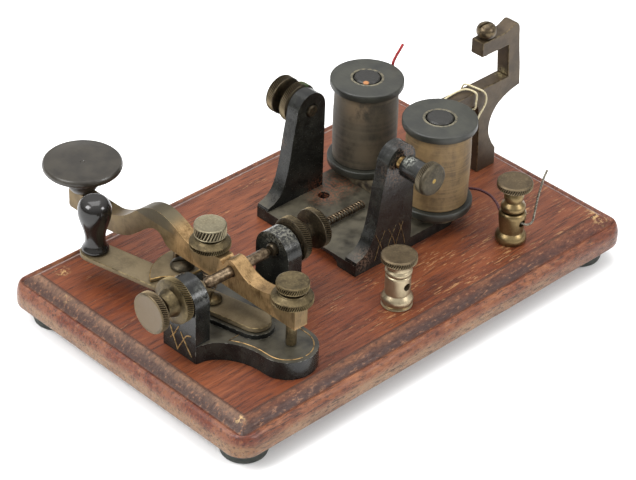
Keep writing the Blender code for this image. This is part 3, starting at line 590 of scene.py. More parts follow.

# %% [markdown]
# ## Black japan and gold lining
# Both castings are iron under black japan, a baked varnish. On their low flat faces it has gathered
# brown-grey dust, chips show dull pink undercoat, and every edge is worn through to a broken grey line
# that is also painted lighter as a highlight. So the flat faces and the bevelled edges get two finishes, and
# the bevel hands its own faces the second one.

# %% Japan finishes
def japan_finish(name, wear_and_highlight_spots=(), dusty=(0.075, 0.064, 0.046)):
    use = Recipe(name, 0.36, tone=(0.9, 0.92, 0.85))
    facing = use.add("ShaderNodeNewGeometry").outputs["Normal"]
    up = use.add("ShaderNodeSeparateXYZ", Vector=facing).outputs[2]
    cloud = use.noise(6, detail=6.0)
    fine = use.noise(1.1, detail=5.0, roughness=0.7, shift=(4, 1, 2))
    black = use.mix(use.step(cloud, 0.35, 0.7), (0.006, 0.006, 0.006), (0.02, 0.02, 0.018))
    low = use.step(use.along(2), TOP_Z + 0.014, TOP_Z + 0.01)
    dust = use.times(use.times(use.step(up, 0.6, 0.95), low), use.step(cloud, 0.1, 0.75))
    black = use.cover(black, dust, 0.8, dusty)
    wave = use.noise(3.5, detail=2.0, shift=(1, 7, 3))
    chips = use.step(fine, 0.64, 0.74)
    black = use.cover(black, chips, 0.45, (0.1, 0.085, 0.07))
    # Each spot is a patch of wear, except the one on the sounder's barrel, which is a painted highlight.
    for spot, reach, colour in wear_and_highlight_spots:
        patch = use.times(use.near(spot, reach, 0.1), use.step(fine, 0.47, 0.56))
        black = use.cover(black, patch, 0.8, colour)
    rough = use.plus(use.times(dust, 0.35), use.times(fine, 0.3))
    return use.done(black, use.plus(rough, 0.08), use.plus(wave, use.times(fine, 0.12)), 0.09, 0.35)


RUST, UNDERCOAT = (0.22, 0.075, 0.04), (0.16, 0.1, 0.075)
key_japan = japan_finish("key_japan", [((-40, -16, 33), 11, (0.16, 0.15, 0.13)),
                                       ((-85, -24, 30), 6, (0.12, 0.12, 0.12))])
sounder_japan = japan_finish("sounder_japan", [
    ((18, 19.5, 5), 10, RUST), ((28, 22, 6), 12, RUST), ((13, -25, 40), 9, UNDERCOAT),
    ((18, -24.5, 47), 8, UNDERCOAT), ((-3, -24.5, 6), 7, UNDERCOAT), ((8, 31, 30), 5, UNDERCOAT)],
    (0.1, 0.084, 0.06))
# The edges' broken grey is partly worn-through paint and partly a painted highlight.
use = Recipe("worn_edge_with_painted_highlight", 0.35, 0.3, (1, 1, 0.95))
worn_edge_with_highlight = use.done(use.mix(use.step(use.noise(1.4, detail=6.0), 0.5, 0.62), (0.012, 0.012, 0.012),
                          (0.19, 0.185, 0.17)),
                  shine=0.3)
gold = two_tone("gold_lining", 0.4, 0.6, 1.8, 0.35, 0.55, (0.16, 0.1, 0.045), (0.62, 0.4, 0.18))
dim_gold = two_tone("dim_gold", 0.5, 0.5, 1.2, 0.35, 0.55, (0.05, 0.035, 0.02), (0.3, 0.2, 0.1))
print("japan, rubbed edges and gold lining mixed")

# %% [markdown]
# ## The key's casting
# Seen from above the casting is a waisted strip with round ends and a wing on each side for an upright.
# Half of its outline is drawn and mirrored. The uprights and the low pad under the closer are joined on by
# union, and one long cutter bores both trunnion holes in line.

# %% Cast the key's frame
KEY_X, ARBOR_Y, ARBOR_Z = -63.0, -16.5, 26.5
CASTING_X, WING_Y = -63.8, -15.6
half = arc(0, -45.4, 11.8, 270, 180, 10)
half += smooth_run([(-11.9, -42), (-12.6, -38.5), (-14.0, -34.5), (-17, -29.8), (-21.3, -26.2), (-26.3, -24.9)])
half += [(-26.8, -24.6), (-26.8, -6.6)]
half += smooth_run([(-26.3, -6.3), (-21.3, -5.0), (-17, -2), (-14.5, 3), (-13.7, 8)])
half += arc(0, 10, 13.5, 176, 90, 10)
plan = [(CASTING_X + x, y) for x, y in half + [(-x, y) for x, y in reversed(half[1:-1])]]
key_frame = as_object("key_casting", slab(plan, 0.1, 8.0), key_japan)
side_view = [(WING_Y + 9, 4), *arc(WING_Y, 23.9, 9, 0, 180, 20), (WING_Y - 9, 4)]
for low, high in ((-90.6, -83.5), (-44.1, -37.0)):
    carve(key_frame, slab(side_view, low, high, "yz"), "UNION")
carve(key_frame, slab(stadium((-66, -30.5), (-71, -9.5), 7.2), 7, 9.9), "UNION")
drill(key_frame, (KEY_X, ARBOR_Y, ARBOR_Z), 2.9, -32, 32, 32, axis="+x")
for spot in ((-70.5, -11.0, 3), (-65.8, 10.8, 3)):
    drill(key_frame, spot, 2.1, 0, 9)
for y in (-38, 4):
    drill(key_frame, (KEY_X, y, 0), 2.2, -1, 5, 16)
finish_piece(key_frame, "base", "key_frame", 0.5, worn_edge_with_highlight)
print("key casting has", len(key_frame.data.polygons), "faces")

# %% [markdown]
# A striper's gold line follows the rim of the casting, and loose crossed strokes decorate the foot of each near
# upright. Thin half-sunk bars of paint do for both.

# %% Stripe the key's casting
def inset(points, by):
    """The same closed outline, drawn that much further in."""
    made = []
    for a, b, c in zip(points[-1:] + points[:-1], points, points[1:] + points[:1]):
        way = (Vector(c) - Vector(a)).normalized()
        made.append(Vector(b) + Vector((way.y, -way.x)) * by)
    return made


middle = Vector((KEY_X, -20))
sign = 1 if (inset(plan, 1.9)[0] - middle).length < (Vector(plan[0]) - middle).length else -1
rim = inset(plan, 1.9 * sign)
rear = [p for p in rim if p.y < -29]
rear.sort(key=lambda p: atan2(p.x - CASTING_X, p.y + 36))
front = [p for p in rim if p.y > -1]
front.sort(key=lambda p: atan2(p.x - CASTING_X, -(p.y - 3)))
for name, run in (("rear_line", rear), ("front_line", front)):
    tube(name, [(p.x, p.y, 8.0) for p in run], 0.45, gold, "base", 2)
STROKES = [[(-6.6, 1.0), (-9.9, 4.4), (-12.1, 7.3), (-14.6, 11.9)], [(-9.9, 9.9), (-12.1, 4.9), (-14.1, 1.0)],
           [(-13.8, 1.0), (-16.4, 5.6), (-18.8, 9.6), (-21.3, 10.8)],
           [(-15.5, 9.8), (-18.5, 5.6), (-21.7, 1.5)]]
for i, stroke in enumerate(STROKES, 1):
    run = [(-90.62, p.x - 0.8, p.y + 0.8) for p in flow([(*q, 0) for q in stroke if q[0] < -7.4], 4)]
    tube(f"key_stroke_{i}", run, 0.55, gold, "base", 2)
for i, (x, lean) in enumerate(((3, 5), (8, -5), (9, 5), (15, -5), (14, 4), (20, -4)), 1):
    run = [(x, -24.53, 3.0), (x + lean * 0.4, -24.53, 9), (x + lean, -24.53, 15)]
    run = [p for p in run if p[0] > 2.5 and p[0] < 22.6]
    tube(f"sounder_stroke_{i}", run, 0.35, dim_gold, "base", 2)
print(len(rear), "and", len(front), "points in the rim lines")

# %% [markdown]
# ## The brass lever
# The lever is sawn from flat bar and filed. Its back half is straight, a half-round boss wraps the arbor,
# two seats carry the lock nuts, and in front it climbs into the hump that names the camelback and drops to
# the knob. The hump is darkened by hands, while the middle and the back are raw orange brass with file
# marks.

# %% Brass finishes
def brass_finish(name, dark, mid, light, rough=0.42, grain=(1, 1, 1), size=4.0, faces=(), greens=(),
                 tone=(0.6, 0.57, 0.5), metallic=0.8):
    use = Recipe(name, rough, metallic, tone)
    cloud = use.noise(size, detail=5.0)
    fine = use.noise(0.9, grain, 4.0)
    metal = use.mix(use.step(cloud, 0.3, 0.62), dark, mid)
    metal = use.cover(metal, use.step(fine, 0.45, 0.75), 0.3, light)
    for spot, reach, colour in faces:
        metal = use.cover(metal, use.near(spot, reach, 0.9), 0.85, colour)
    for spot, reach in greens:
        metal = use.mix(use.step(use.plus(use.near(spot, reach), cloud), 1.0, 1.15), metal, (0.12, 0.2, 0.1))
    # Painted shade and highlight on the knurls: the grooves are painted dark and the ridges painted light.
    metal = use.mix(use.step(use.mark("groove"), 0.35, 0.9), metal, (0.035, 0.026, 0.015))
    metal = use.cover(metal, use.step(use.mark("ridge"), 0.5, 1.0), 0.45, light)
    rougher = use.plus(use.times(cloud, 0.3), rough - 0.15)
    return use.done(metal, rougher, fine, 0.02)


def lever_finish():
    use = Recipe("lever_brass", 0.4, 0.8)
    y = use.along(1)
    hump = use.step(y, BOARD_Y + 0.012, BOARD_Y + 0.02)
    top = use.step(use.along(2), TOP_Z + 0.0262, TOP_Z + 0.0268)
    marks = use.noise(0.45, (1, 0.5, 0.12), 3.0, 0.6)
    cloud = use.noise(5, detail=5.0)
    raw = use.mix(use.step(cloud, 0.34, 0.56), (0.22, 0.135, 0.062), (0.46, 0.3, 0.155))
    raw = use.cover(raw, use.step(marks, 0.45, 0.7), 0.45, (0.66, 0.46, 0.25))
    raw = use.cover(raw, use.step(marks, 0.42, 0.3), 0.6, (0.12, 0.075, 0.035))
    dull = use.mix(use.step(cloud, 0.35, 0.65), (0.17, 0.12, 0.065), (0.27, 0.2, 0.115))
    metal = use.mix(hump, raw, dull)
    grey = use.times(use.times(top, hump), 0.8)
    metal = use.mix(grey, metal, (0.13, 0.115, 0.085))
    # Painted shade on the lever, under and round the two lock nuts.
    nut_shade = use.maths("MAXIMUM", use.near((KEY_X, -1.7, 28), 10, 0.85), use.near((KEY_X, -46.5, 27), 10, 0.85))
    metal = use.cover(metal, nut_shade, 0.55, (0.1, 0.08, 0.045))
    return use.done(metal, use.plus(use.times(cloud, 0.3), 0.28), marks, 0.05)


lever_brass = lever_finish()
# Bright brass: the thread's own colour, and on the bevels of the lever and the contact tongue a painted edge
# highlight.
bright_brass_and_edge_highlight = two_tone("bright_brass_and_edge_highlight", 0.3, 0.9, 2, 0.35, 0.6, (0.25, 0.16, 0.07), (0.62, 0.43, 0.2))
olive = brass_finish("olive_brass", (0.07, 0.053, 0.028), (0.165, 0.13, 0.072), (0.46, 0.37, 0.21),
                     greens=[((19, 33.5, 51.5), 3)])
pale = brass_finish("pale_brass", (0.16, 0.125, 0.075), (0.26, 0.21, 0.135), (0.38, 0.31, 0.2), 0.5, (1, 1, 3),
                    7, metallic=0.45)
dull_edge = two_tone("dull_edge", 0.4, 0.85, 2, 0.35, 0.6, (0.14, 0.11, 0.065), (0.34, 0.27, 0.16))
print("brass finishes mixed")

# %% File the lever
lever_outline = [(-51.4, 18.5), (15.5, 18.5)]
lever_outline += smooth_run([(17.6, 18.6), (19.8, 19.4), (21.4, 21.2), (23.4, 22.9), (25.4, 23.4), (27.5, 23.1),
                             (30.8, 21.3), (34.7, 18.0), (38.4, 14.9), (42.1, 12.3), (47.6, 9.9), (52.6, 8.8),
                             (60, 8.1)])
lever_outline += [(77.2, 8.0), (78.0, 8.8), (78.0, 16.0), (77.2, 16.8), (60, 16.8)]
lever_outline += smooth_run([(56, 16.8), (52, 17.1), (48.5, 18.3), (45, 20.1), (42, 22.2), (37, 26.6),
                             (34.4, 28.8), (31.5, 30.5), (29, 31.6), (26.5, 32.2), (23.7, 32.4), (21, 32.1),
                             (17.2, 31.0), (13.4, 29.4), (9.5, 27.4)])
lever_outline += [(7, 26.6), (4.5, 26.6), (3.0, 28.9), (-10.8, 28.9), (-12.3, 27.0), (-13.2, 28.8)]
lever_outline += arc(ARBOR_Y, ARBOR_Z, 4.6, 60, 125, 8)
lever_outline += smooth_run([(-20.6, 29.3), (-24, 27.3), (-29, 26.2), (-34, 26.7), (-37.5, 27.5)])
lever_outline += [(-39, 27.8), (-51.4, 27.8)]
lever = as_object("lever", slab(lever_outline, KEY_X - 3.2, KEY_X + 3.2, "yz"), lever_brass)
drill(lever, (KEY_X, ARBOR_Y, ARBOR_Z), 2.45, -5, 5, 24, axis="+x")
for y, radius in ((-1.7, 2.3), (-46.5, 2.4), (73, 2.1)):
    drill(lever, (KEY_X, y, 0), radius, 5, 35)
carve(lever, slab([(-18.0, 31.2), (-18.8, 30.9), (-28.6, 25.5), (-28.2, 25.1)], KEY_X - 4, KEY_X - 2.3, "yz"))
# The lever's bevels carry a painted highlight.
finish_piece(lever, "key", "key_lever", 0.32, bright_brass_and_edge_highlight)
print("lever has", len(lever.data.polygons), "faces")

# %% [markdown]
# ## Knob and arbor
# The finger knob is hard rubber, turned thin with a rolled rim and a tiny centre mark, and dulled to
# brown-grey by fingers. Its collar stands on the lever. The arbor is a plain dull steel rod pointed at both
# ends.

# %% Turn the knob and the arbor
def rubber_finish(name, dark, light, rough):
    use = Recipe(name, rough)
    cloud = use.noise(9, detail=5.0)
    scuff = use.noise(0.9, (1, 0.3, 1), 3.0)
    colour = use.mix(use.step(cloud, 0.3, 0.7), dark, light)
    return use.done(colour, use.plus(use.times(scuff, 0.25), rough - 0.12), scuff, 0.012)


knob_rubber = rubber_finish("knob_rubber", (0.022, 0.018, 0.014), (0.05, 0.043, 0.034), 0.34)
gloss_black = rubber_finish("gloss_black", (0.008, 0.007, 0.007), (0.016, 0.014, 0.013), 0.16)
flange_rubber = rubber_finish("flange_rubber", (0.022, 0.024, 0.022), (0.05, 0.052, 0.044), 0.46)
knob = [(0, 8.4), (1.5, 8.4), (1.8, 8.8), (1.8, 17.1), (4.5, 17.1), (4.8, 17.3), (5.5, 18.3), (6.1, 19.3),
        (6.4, 20.4), (6.45, 21.8), (6.3, 23.6), (6.5, 25.0), (7.3, 26.2), (8.8, 26.9), (11.5, 27.15),
        (14.4, 27.2), (15.4, 27.45), (15.8, 28.0), (15.9, 28.8), (15.75, 29.6), (15.2, 30.2), (14.4, 30.3),
        (13.9, 30.1), (8.0, 29.95), (1.0, 29.9), (0.7, 29.6), (0, 29.55)]
made = as_object("finger_knob", lathe(knob, (KEY_X, 73, 0), count=96), knob_rubber)
finish_piece(made, "key", "key_knob")
rod = [(0, -16.7), (0.8, -16.4), (2.0, -14.6), (2.15, -14.2), (2.15, 14.2), (2.0, 14.6), (0.8, 16.4), (0, 16.7)]
made = as_object("arbor_rod", lathe(rod, (KEY_X, ARBOR_Y, ARBOR_Z), "+x", 32), steel)
finish_piece(made, "key", "key_arbor")
print("the arbor is", round(made.dimensions.x * 1000, 1), "mm long")

# %% [markdown]
# ## Thumb screws and lock nuts
# Ten brass pieces share two patterns: a thumb screw, with a flat head, a slanting knurl and a shank, and a
# lock nut, a knurled disc with a cone on top. The teeth are just under 1 mm apart and half as deep. The
# lathe presses them into the rows marked with a depth, and plain rows on each side keep a smooth lip.

# %% Patterns for screws and nuts
def thumb_screw(start, end, radius, tip, shank, point=0.5, neck=0.6):
    lip = 0.55
    return [(0, tip), (shank - point, tip), (shank, tip + point), (shank, start - 0.4), (shank + neck, start),
            (radius - 0.7, start), (radius - 0.1, start + 0.25), (radius - 0.05, start + lip),
            (radius, start + lip + 0.15, 0.5), (radius, end - lip - 0.15, 0.5), (radius - 0.05, end - lip),
            (radius - 0.15, end - 0.2), (radius - 0.5, end), (radius - 0.9, end - 0.06), (0, end - 0.1)]


def lock_nut(start, height, rim, radius, hub, bore):
    return [(bore, start), (radius - 0.5, start), (radius - 0.1, start + 0.3), (radius, start + 0.45, 0.5),
            (radius, start + rim - 0.6, 0.5), (radius - 0.15, start + rim - 0.35), (radius - 0.7, start + rim),
            (hub + 1.1, start + rim + 0.25), (hub + 0.25, start + (rim + height) / 2 + 0.4),
            (hub, start + height - 0.4), (hub - 0.3, start + height), (bore, start + height)]


def brass_piece(name, node, profile, spot, axis, body, teeth, bore=False, finish=None):
    made = as_object(name, lathe(profile, spot, axis, bore=bore, teeth=teeth), finish or olive)
    return finish_piece(made, body, node)


spring_at, gap_at = (KEY_X, -1.7, 0), (KEY_X, -46.5, 0)
arbor_at, sounder_at = (KEY_X, ARBOR_Y, ARBOR_Z), (15.3, 3.5, 43.5)
dark_olive = brass_finish("dark_olive", (0.032, 0.026, 0.018), (0.085, 0.068, 0.046), (0.36, 0.29, 0.18),
                          greens=[((19, 33.5, 51.5), 3)])
blued = brass_finish("bluish_face", (0.26, 0.235, 0.17), (0.34, 0.315, 0.235), (0.8, 0.7, 0.5), 0.42)
rosy = brass_finish("rosy_brass", (0.1, 0.08, 0.05), (0.2, 0.155, 0.1), (0.42, 0.33, 0.22), 0.45,
                    faces=[((KEY_X - 41.8, ARBOR_Y, ARBOR_Z), 7.6, (0.2, 0.155, 0.112))])
brass_piece("spring_thumb_screw", "key_spring_screw", thumb_screw(34.2, 39.1, 6.3, 18.0, 2.0), spring_at, "+z",
            "key_spring_screw", 30, finish=blued)
brass_piece("spring_lock_nut", "key_spring_nut", lock_nut(29.2, 3.8, 2.6, 8.0, 5.5, 2.3), spring_at, "+z",
            "key_spring_nut", 58, True)
brass_piece("gap_thumb_screw", "key_gap_screw", thumb_screw(33.9, 37.1, 6.3, 8.3, 2.1), gap_at, "+z",
            "key_gap_screw", 44)
brass_piece("gap_lock_nut", "key_gap_nut", lock_nut(28.1, 4.3, 2.9, 8.0, 5.5, 2.4), gap_at, "+z",
            "key_gap_nut", 58, True)
for name, axis, out, finish in (("near", "-x", 1.6, rosy), ("far", "+x", 0.0, dark_olive)):
    head = thumb_screw(38.2 + out, 41.8 + out, 8.15, 17.0, 2.6, neck=2)
    brass_piece(f"trunnion_screw_{name}", f"key_trunnion_screw_{name}", head, arbor_at, axis,
                f"key_trunnion_screw_{name}", 58, finish=finish)
    boss = [(2.9, 27.9), (6.8, 27.9), (6.8, 27.2 + out)] if out else [(2.9, 26.8), (6.8, 26.8), (6.8, 27.2)]
    brass_piece(f"trunnion_nut_{name}", f"key_trunnion_nut_{name}",
                boss + lock_nut(27.2 + out, 7.9, 3.8, 9.0, 4.5, 2.9)[1:], arbor_at, axis,
                f"key_trunnion_nut_{name}", 64, True, olive if out else dark_olive)
brass_piece("sounder_screw_back", "sounder_screw_far", thumb_screw(36.2, 40.4, 7.9, 21.0, 2.6, neck=2),
            sounder_at, "+y", "sounder_screw_far", 56, finish=dark_olive)
brass_piece("sounder_nut_back", "sounder_nut_far", lock_nut(28.3, 5.4, 4.0, 8.5, 4.6, 2.9), sounder_at, "+y",
            "sounder_nut_far", 60, True, dark_olive)
print("screws and nuts turned")

# %% [markdown]
# The front screw of the sounder is different: a brass thread, then a long black barrel with a painted
# highlight streak, then a knurled ring round a grey face with a brass dot in its middle.

# %% The sounder's front screw
# The light spot on the barrel is a painted highlight on the glossy black.
barrel_black_with_highlight = japan_finish("barrel_japan", [((14, -30, 47.5), 4, (0.3, 0.3, 0.28))], (0.02, 0.02, 0.02))
barrel_black_with_highlight.node_tree.nodes["Principled BSDF"].inputs["Specular IOR Level"].default_value = 0.5
grey_face = brass_finish("grey_face", (0.045, 0.04, 0.03), (0.1, 0.088, 0.066), (0.3, 0.25, 0.17), 0.5,
                         faces=[((15.3, 3.5 - 45.4, 43.5), 1.0, (0.5, 0.35, 0.1))])
thread = [(0, 21), (2.1, 21)]
for i in range(12):
    thread += [(2.6, 21.3 + i * 0.8), (2.25, 21.7 + i * 0.8)]
made = as_object("front_thread", lathe([*thread, (0, 30.9)], sounder_at, "-y", 24), bright_brass_and_edge_highlight)
finish_piece(made, "sounder_screw_near", "sounder_screw_near")
barrel = [(0, 30.4), (3.9, 30.4), (4.4, 30.7), (4.6, 31.2), (4.6, 40.9), (0, 40.9)]
made = as_object("front_barrel", lathe(barrel, sounder_at, "-y", 48), barrel_black_with_highlight)
finish_piece(made, "sounder_screw_near")
head = [(0, 41.0), (6.1, 41.0), (6.55, 41.3), (6.7, 41.6, 0.35), (6.7, 43.6, 0.35), (6.5, 43.9), (6.4, 44.7),
        (6.1, 45.2), (5.6, 45.4), (0, 45.4)]
made = as_object("front_head", lathe(head, sounder_at, "-y", teeth=48), grey_face)
finish_piece(made, "sounder_screw_near")
print("front screw made in three pieces")

# %% [markdown]
# ## The circuit closer and the contact tongue
# The closer is a flat brass arm that swings on a slotted screw, with a turned black handle at its far end.
# Closed, it slides under the lip of the contact tongue, a lens-shaped plate whose bevelled edge carries a
# painted highlight.

# %% Closer arm, handle and screw
TAIL, HANDLE, PIVOT = (-66.0, -30.5), (-81.8, 43.0), (-70.5, -11.0)
arm = as_object("closer_bar", slab(stadium(TAIL, HANDLE, 6.0, 16), 10.2, 12.2), pale)
for (x, y), radius in ((PIVOT, 2.1), (HANDLE, 1.8)):
    drill(arm, (x, y, 0), radius, 8, 14)
finish_piece(arm, "closer", "closer_arm", 0.3, dull_edge)
grip = [(0, 10.7), (1.5, 10.7), (1.5, 12.5), (5.0, 12.5), (5.3, 12.8), (5.4, 13.4), (5.1, 14.1), (4.5, 14.9),
        (4.1, 16.1), (3.95, 17.9), (4.15, 20.0), (4.7, 22.4), (5.6, 25.3), (6.3, 27.8), (6.6, 29.9),
        (6.5, 31.8), (6.0, 33.6), (5.1, 35.0), (3.8, 35.9), (2.0, 36.3), (0, 36.4)]
made = as_object("closer_grip", lathe(grip, (*HANDLE, 0), count=64), gloss_black)
finish_piece(made, "closer", "closer_handle")


def slotted(name, node, profile, x, y, turned, finish, slot, body="base", wide=0.45, deep=1.0):
    """A turned screw with a slot sawn across its head at that many degrees."""
    made = as_object(name, lathe(profile, (x, y, 0), count=40), finish)
    top = max(height for _, height, *_ in profile)
    way = Vector((cos(radians(turned)), sin(radians(turned))))
    side = Vector((-way.y, way.x)) * wide
    ends = [way * -7 - side, way * 7 - side, way * 7 + side, way * -7 + side]
    carve(made, slab([(x + e.x, y + e.y) for e in ends], top - deep, top + 2))
    return finish_piece(made, body, node, 0.12, angle=50, segments=1)


pan = [(0, 3), (1.8, 3), (1.8, 12.5), (3.7, 12.5), (4.0, 12.8), (4.0, 13.4), (3.6, 14.0), (2.4, 14.4),
       (0, 14.5)]
slotted("closer_pan_screw", "closer_pivot_screw", pan, *PIVOT, 35, olive, "fitting_brass")
print("closer made")

# %% Contact tongue and its screw
dark_screw = brass_finish("dark_screw", (0.035, 0.03, 0.02), (0.075, 0.062, 0.042), (0.2, 0.165, 0.11))
edge_run = smooth_run([(-60.0, 4.7), (-57.6, 5.3), (-55.4, 6.6), (-53.0, 8.5), (-49.6, 11.0), (-45.4, 12.5)], 4)
edge_run += smooth_run([(-46.8, 14.6), (-50.4, 18.0), (-54.5, 20.2), (-58.5, 21.5), (-63.0, 21.9)], 4)
tongue = edge_run + [(2 * KEY_X - x, y) for x, y in reversed(edge_run[:-1])]
plate = as_object("contact_tongue", slab(tongue, 12.5, 14.0), pale)
drill(plate, (-65.8, 10.8, 0), 2.0, 10, 16)
# The tongue's bevelled edge carries a painted highlight.
finish_piece(plate, "base", "anvil_plate", 0.4, bright_brass_and_edge_highlight)
stud = [(0, 14.02), (1.5, 14.02), (1.4, 14.3), (1.35, 16.1), (1.1, 16.35), (0, 16.35)]
finish_piece(as_object("lower_contact", lathe(stud, (KEY_X, 17.2, 0), count=24), steel), "base")
pin = [(0, 17.05), (1.1, 17.05), (1.3, 17.2), (1.3, 18.2), (0, 18.2)]
made = as_object("upper_contact", lathe(pin, (KEY_X, 17.2, 0), count=24), steel)
finish_piece(made, "key", "key_upper_contact")
dome = [(0, 3), (1.7, 3), (1.7, 14.3), (4.4, 14.3), (4.75, 14.6), (4.75, 15.0), (4.3, 15.7), (3.3, 16.4),
        (1.8, 16.8), (0, 16.95)]
slotted("contact_screw", "anvil_screw", dome, -65.8, 10.8, -38, dark_screw, "fitting_brass")
block = [(0, 8.3), (5.9, 8.3), (6.1, 8.5), (6.1, 12.0), (5.9, 12.2), (0, 12.2)]
made = as_object("insulating_block", lathe(block, (-62.3, 11.0, 0)), flange_rubber)
finish_piece(made, "base", "anvil_insulator")


def helix(start, length, coil, turns, standing):
    """Points along a wire spring, sixteen to a turn."""
    made = []
    for i in range(turns * 16 + 1):
        a, along = 2 * pi * i / 16, length * i / (turns * 16)
        move = (coil * cos(a), coil * sin(a), along) if standing else (along, coil * cos(a), coil * sin(a))
        made.append(tuple(p + q for p, q in zip(start, move)))
    return made


made = tube("key_coil_spring", helix((KEY_X, -1.7, 8.8), 8.5, 2.4, 5, True), 0.8, steel, "base")
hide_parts("key_spring")
print("tongue, contacts and key spring made")

# %% [markdown]
# ## The sounder's frame
# This casting has lost its lever: two uprights stand over a flat bed with an arch cut under one end and one
# bolt hole empty in a ring of rust. An upright is drawn from the side, flaring into the foot, and the bed
# from above.

# %% Cast the sounder's frame
upright = [(-7.5, 0.1), (-7.4, 5.4)]
upright += smooth_run([(-7.0, 6.3), (-5.6, 6.8), (-3.6, 7.5), (-1.4, 9.1), (0.4, 11.4), (1.8, 14.6),
                       (3.0, 18.6), (4.2, 24.2), (5.2, 30.5), (6.3, 36.8), (7.4, 42.0)])
upright += [*arc(15.3, 43.5, 7.7, 168, 0, 16), (23.0, 30.0), (23.0, 0.1)]
NEAR_Y, FAR_Y, PILLAR = -18.5, 25.5, 6.0
low, high = NEAR_Y - PILLAR, FAR_Y + PILLAR
bed = [(-7.5, low), *arc(44, low + 10, 10, 270, 360, 10), *arc(44, high - 10, 10, 0, 90, 10), (-7.5, high)]
sounder = as_object("sounder_casting", slab(bed, 0.1, 5.0), sounder_japan)
carve(sounder, slab(upright, low, NEAR_Y, "xz"), "UNION")
carve(sounder, slab(upright, FAR_Y, high, "xz"), "UNION")
arch = smooth_run([(-14.6, -1), (-14.2, 1.4), (-12.6, 3.0), (-10.0, 3.5), (0, 3.6), (17, 3.5), (19.6, 3.0),
                   (21.2, 1.4), (21.6, -1)], 4)
carve(sounder, slab(arch, -9, 9, "yz"))
drill(sounder, sounder_at, 2.9, -40, 40, 32, axis="+y")
drill(sounder, (18, 19.5, 0), 2.4, -1, 7, 28)
for x, y in ((18, -8), (44.5, 3.5)):
    drill(sounder, (x, y, 0), 2.2, -1, 3.1, 16)
finish_piece(sounder, "base", "sounder_frame", 0.55, worn_edge_with_highlight)
made = tube("retractile_coil", helix((2.4, 2.6, 7.2), 21.0, 1.45, 15, False), 0.7, steel, "base")
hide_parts("retractile_spring")
print("sounder casting has", len(sounder.data.polygons), "faces")

# %% [markdown]
# ## The coils
# Each coil is wire wound between two turned rubber flanges on an iron core. The far one is wrapped in a
# dark waxed cloth, the near one in tan thread laid round and round, so its ridges run level. The wrap
# bulges between the flanges, and a wax ring seals the core at the top.

# %% Coil finishes
def wrap_finish(name, dark, light, patch, ridge, spots=(), bands=0.5, tone=(0.6, 0.58, 0.5)):
    use = Recipe(name, 0.72, tone=tone)
    turns = use.noise(ridge, (0.02, 0.02, 1), 2.0, 0.4)
    cloud = use.noise(9, (1, 1, 0.6), 7.0, 0.7)
    cloth = use.mix(use.step(cloud, 0.32, 0.68), dark, light)
    cloth = use.mix(use.times(use.step(turns, 0.45, 0.65), bands), cloth, patch)
    for spot, reach, colour in spots:
        mark = use.times(use.near(spot, reach, 0.1), use.step(cloud, 0.4, 0.55))
        cloth = use.cover(cloth, mark, 0.8, colour)
    return use.done(cloth, use.plus(use.times(cloud, 0.3), 0.5), turns, 0.14)


dark_wrap = wrap_finish("dark_wrap", (0.028, 0.023, 0.015), (0.085, 0.068, 0.044), (0.12, 0.095, 0.06), 1.4,
                        [((33, 17, 40), 9, (0.15, 0.105, 0.06)), ((36, 13, 20), 8, (0.12, 0.09, 0.055))], 0.3,
                        (1, 1, 1))
tan_wrap = wrap_finish("tan_wrap", (0.11, 0.07, 0.032), (0.32, 0.212, 0.1), (0.38, 0.25, 0.12), 0.9,
                       [((47, -30, 31), 3.5, (0.02, 0.018, 0.015)), ((55, -25, 16), 8, (0.45, 0.3, 0.16))],
                       0.35)
use = Recipe("core_black", 0.4, 0.1)
# The small orange spot on the far core's rim is a painted glint.
core_black = use.done(use.mix(use.near((40.6, 20.6, 48.6), 1.5), (0.022, 0.021, 0.02), (0.6, 0.26, 0.1)),
                      height=use.noise(2.0), depth=0.3)
wax = two_tone("sealing_wax", 0.5, 0.0, 1.5, 0.35, 0.6, (0.05, 0.048, 0.038), (0.2, 0.18, 0.13))
yoke_iron = two_tone("yoke_iron", 0.6, 0.4, 5, 0.35, 0.62, (0.04, 0.03, 0.022), (0.24, 0.2, 0.14), 6.0)
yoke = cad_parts["yoke_bar"]
for holder in yoke.material_slots:
    holder.material = yoke_iron
print("coil finishes mixed")

# %% Wind the coils
COIL_X = 44.5
for name, y, wrap, slot in (("near", -16.75, tan_wrap, "tan_winding"),
                            ("far", 23.75, dark_wrap, "dark_winding")):
    spot = (COIL_X, y, 0)
    core = [(0, 8.4), (5.5, 8.4), (5.5, 48.1), (5.0, 48.6), (0, 48.8)]
    finish_piece(as_object(f"core_{name}", lathe(core, spot, count=10), core_black), "base",
                 f"magnet_core_{name}")
    for end, z in (("bottom", 8.4), ("top", 44.8)):
        disc = [(5.8, z), (14.4, z), (14.8, z + 0.15), (15.0, z + 0.6), (15.0, z + 2.7), (14.9, z + 3.0),
                (14.65, z + 3.17), (14.3, z + 3.2), (5.8, z + 3.2)]
        made = as_object(f"flange_{name}_{end}", lathe(disc, spot, count=96, bore=True), flange_rubber)
        finish_piece(made, "base", f"coil_flange_{name}_{end}")
    profile = [(5.8, 11.9)]
    for i in range(41):
        z = 11.95 + i * 0.81
        bulge = 0.35 * sin(pi * i / 40) + (0.06 if i % 2 else 0)
        profile.append((12.85 + bulge, z))
    profile.append((5.8, 44.5))
    made = as_object(f"winding_{name}", lathe(profile, spot, count=96, bore=True), wrap)
    finish_piece(made, "base", f"coil_winding_{name}")
    seal = [(5.9, 47.7), (6.9, 47.7), (6.9, 48.05), (6.7, 48.2), (6.1, 48.2), (5.9, 48.0)]
    finish_piece(as_object(f"wax_ring_{name}", lathe(seal, spot, bore=True), wax), "base")
print("two coils wound")

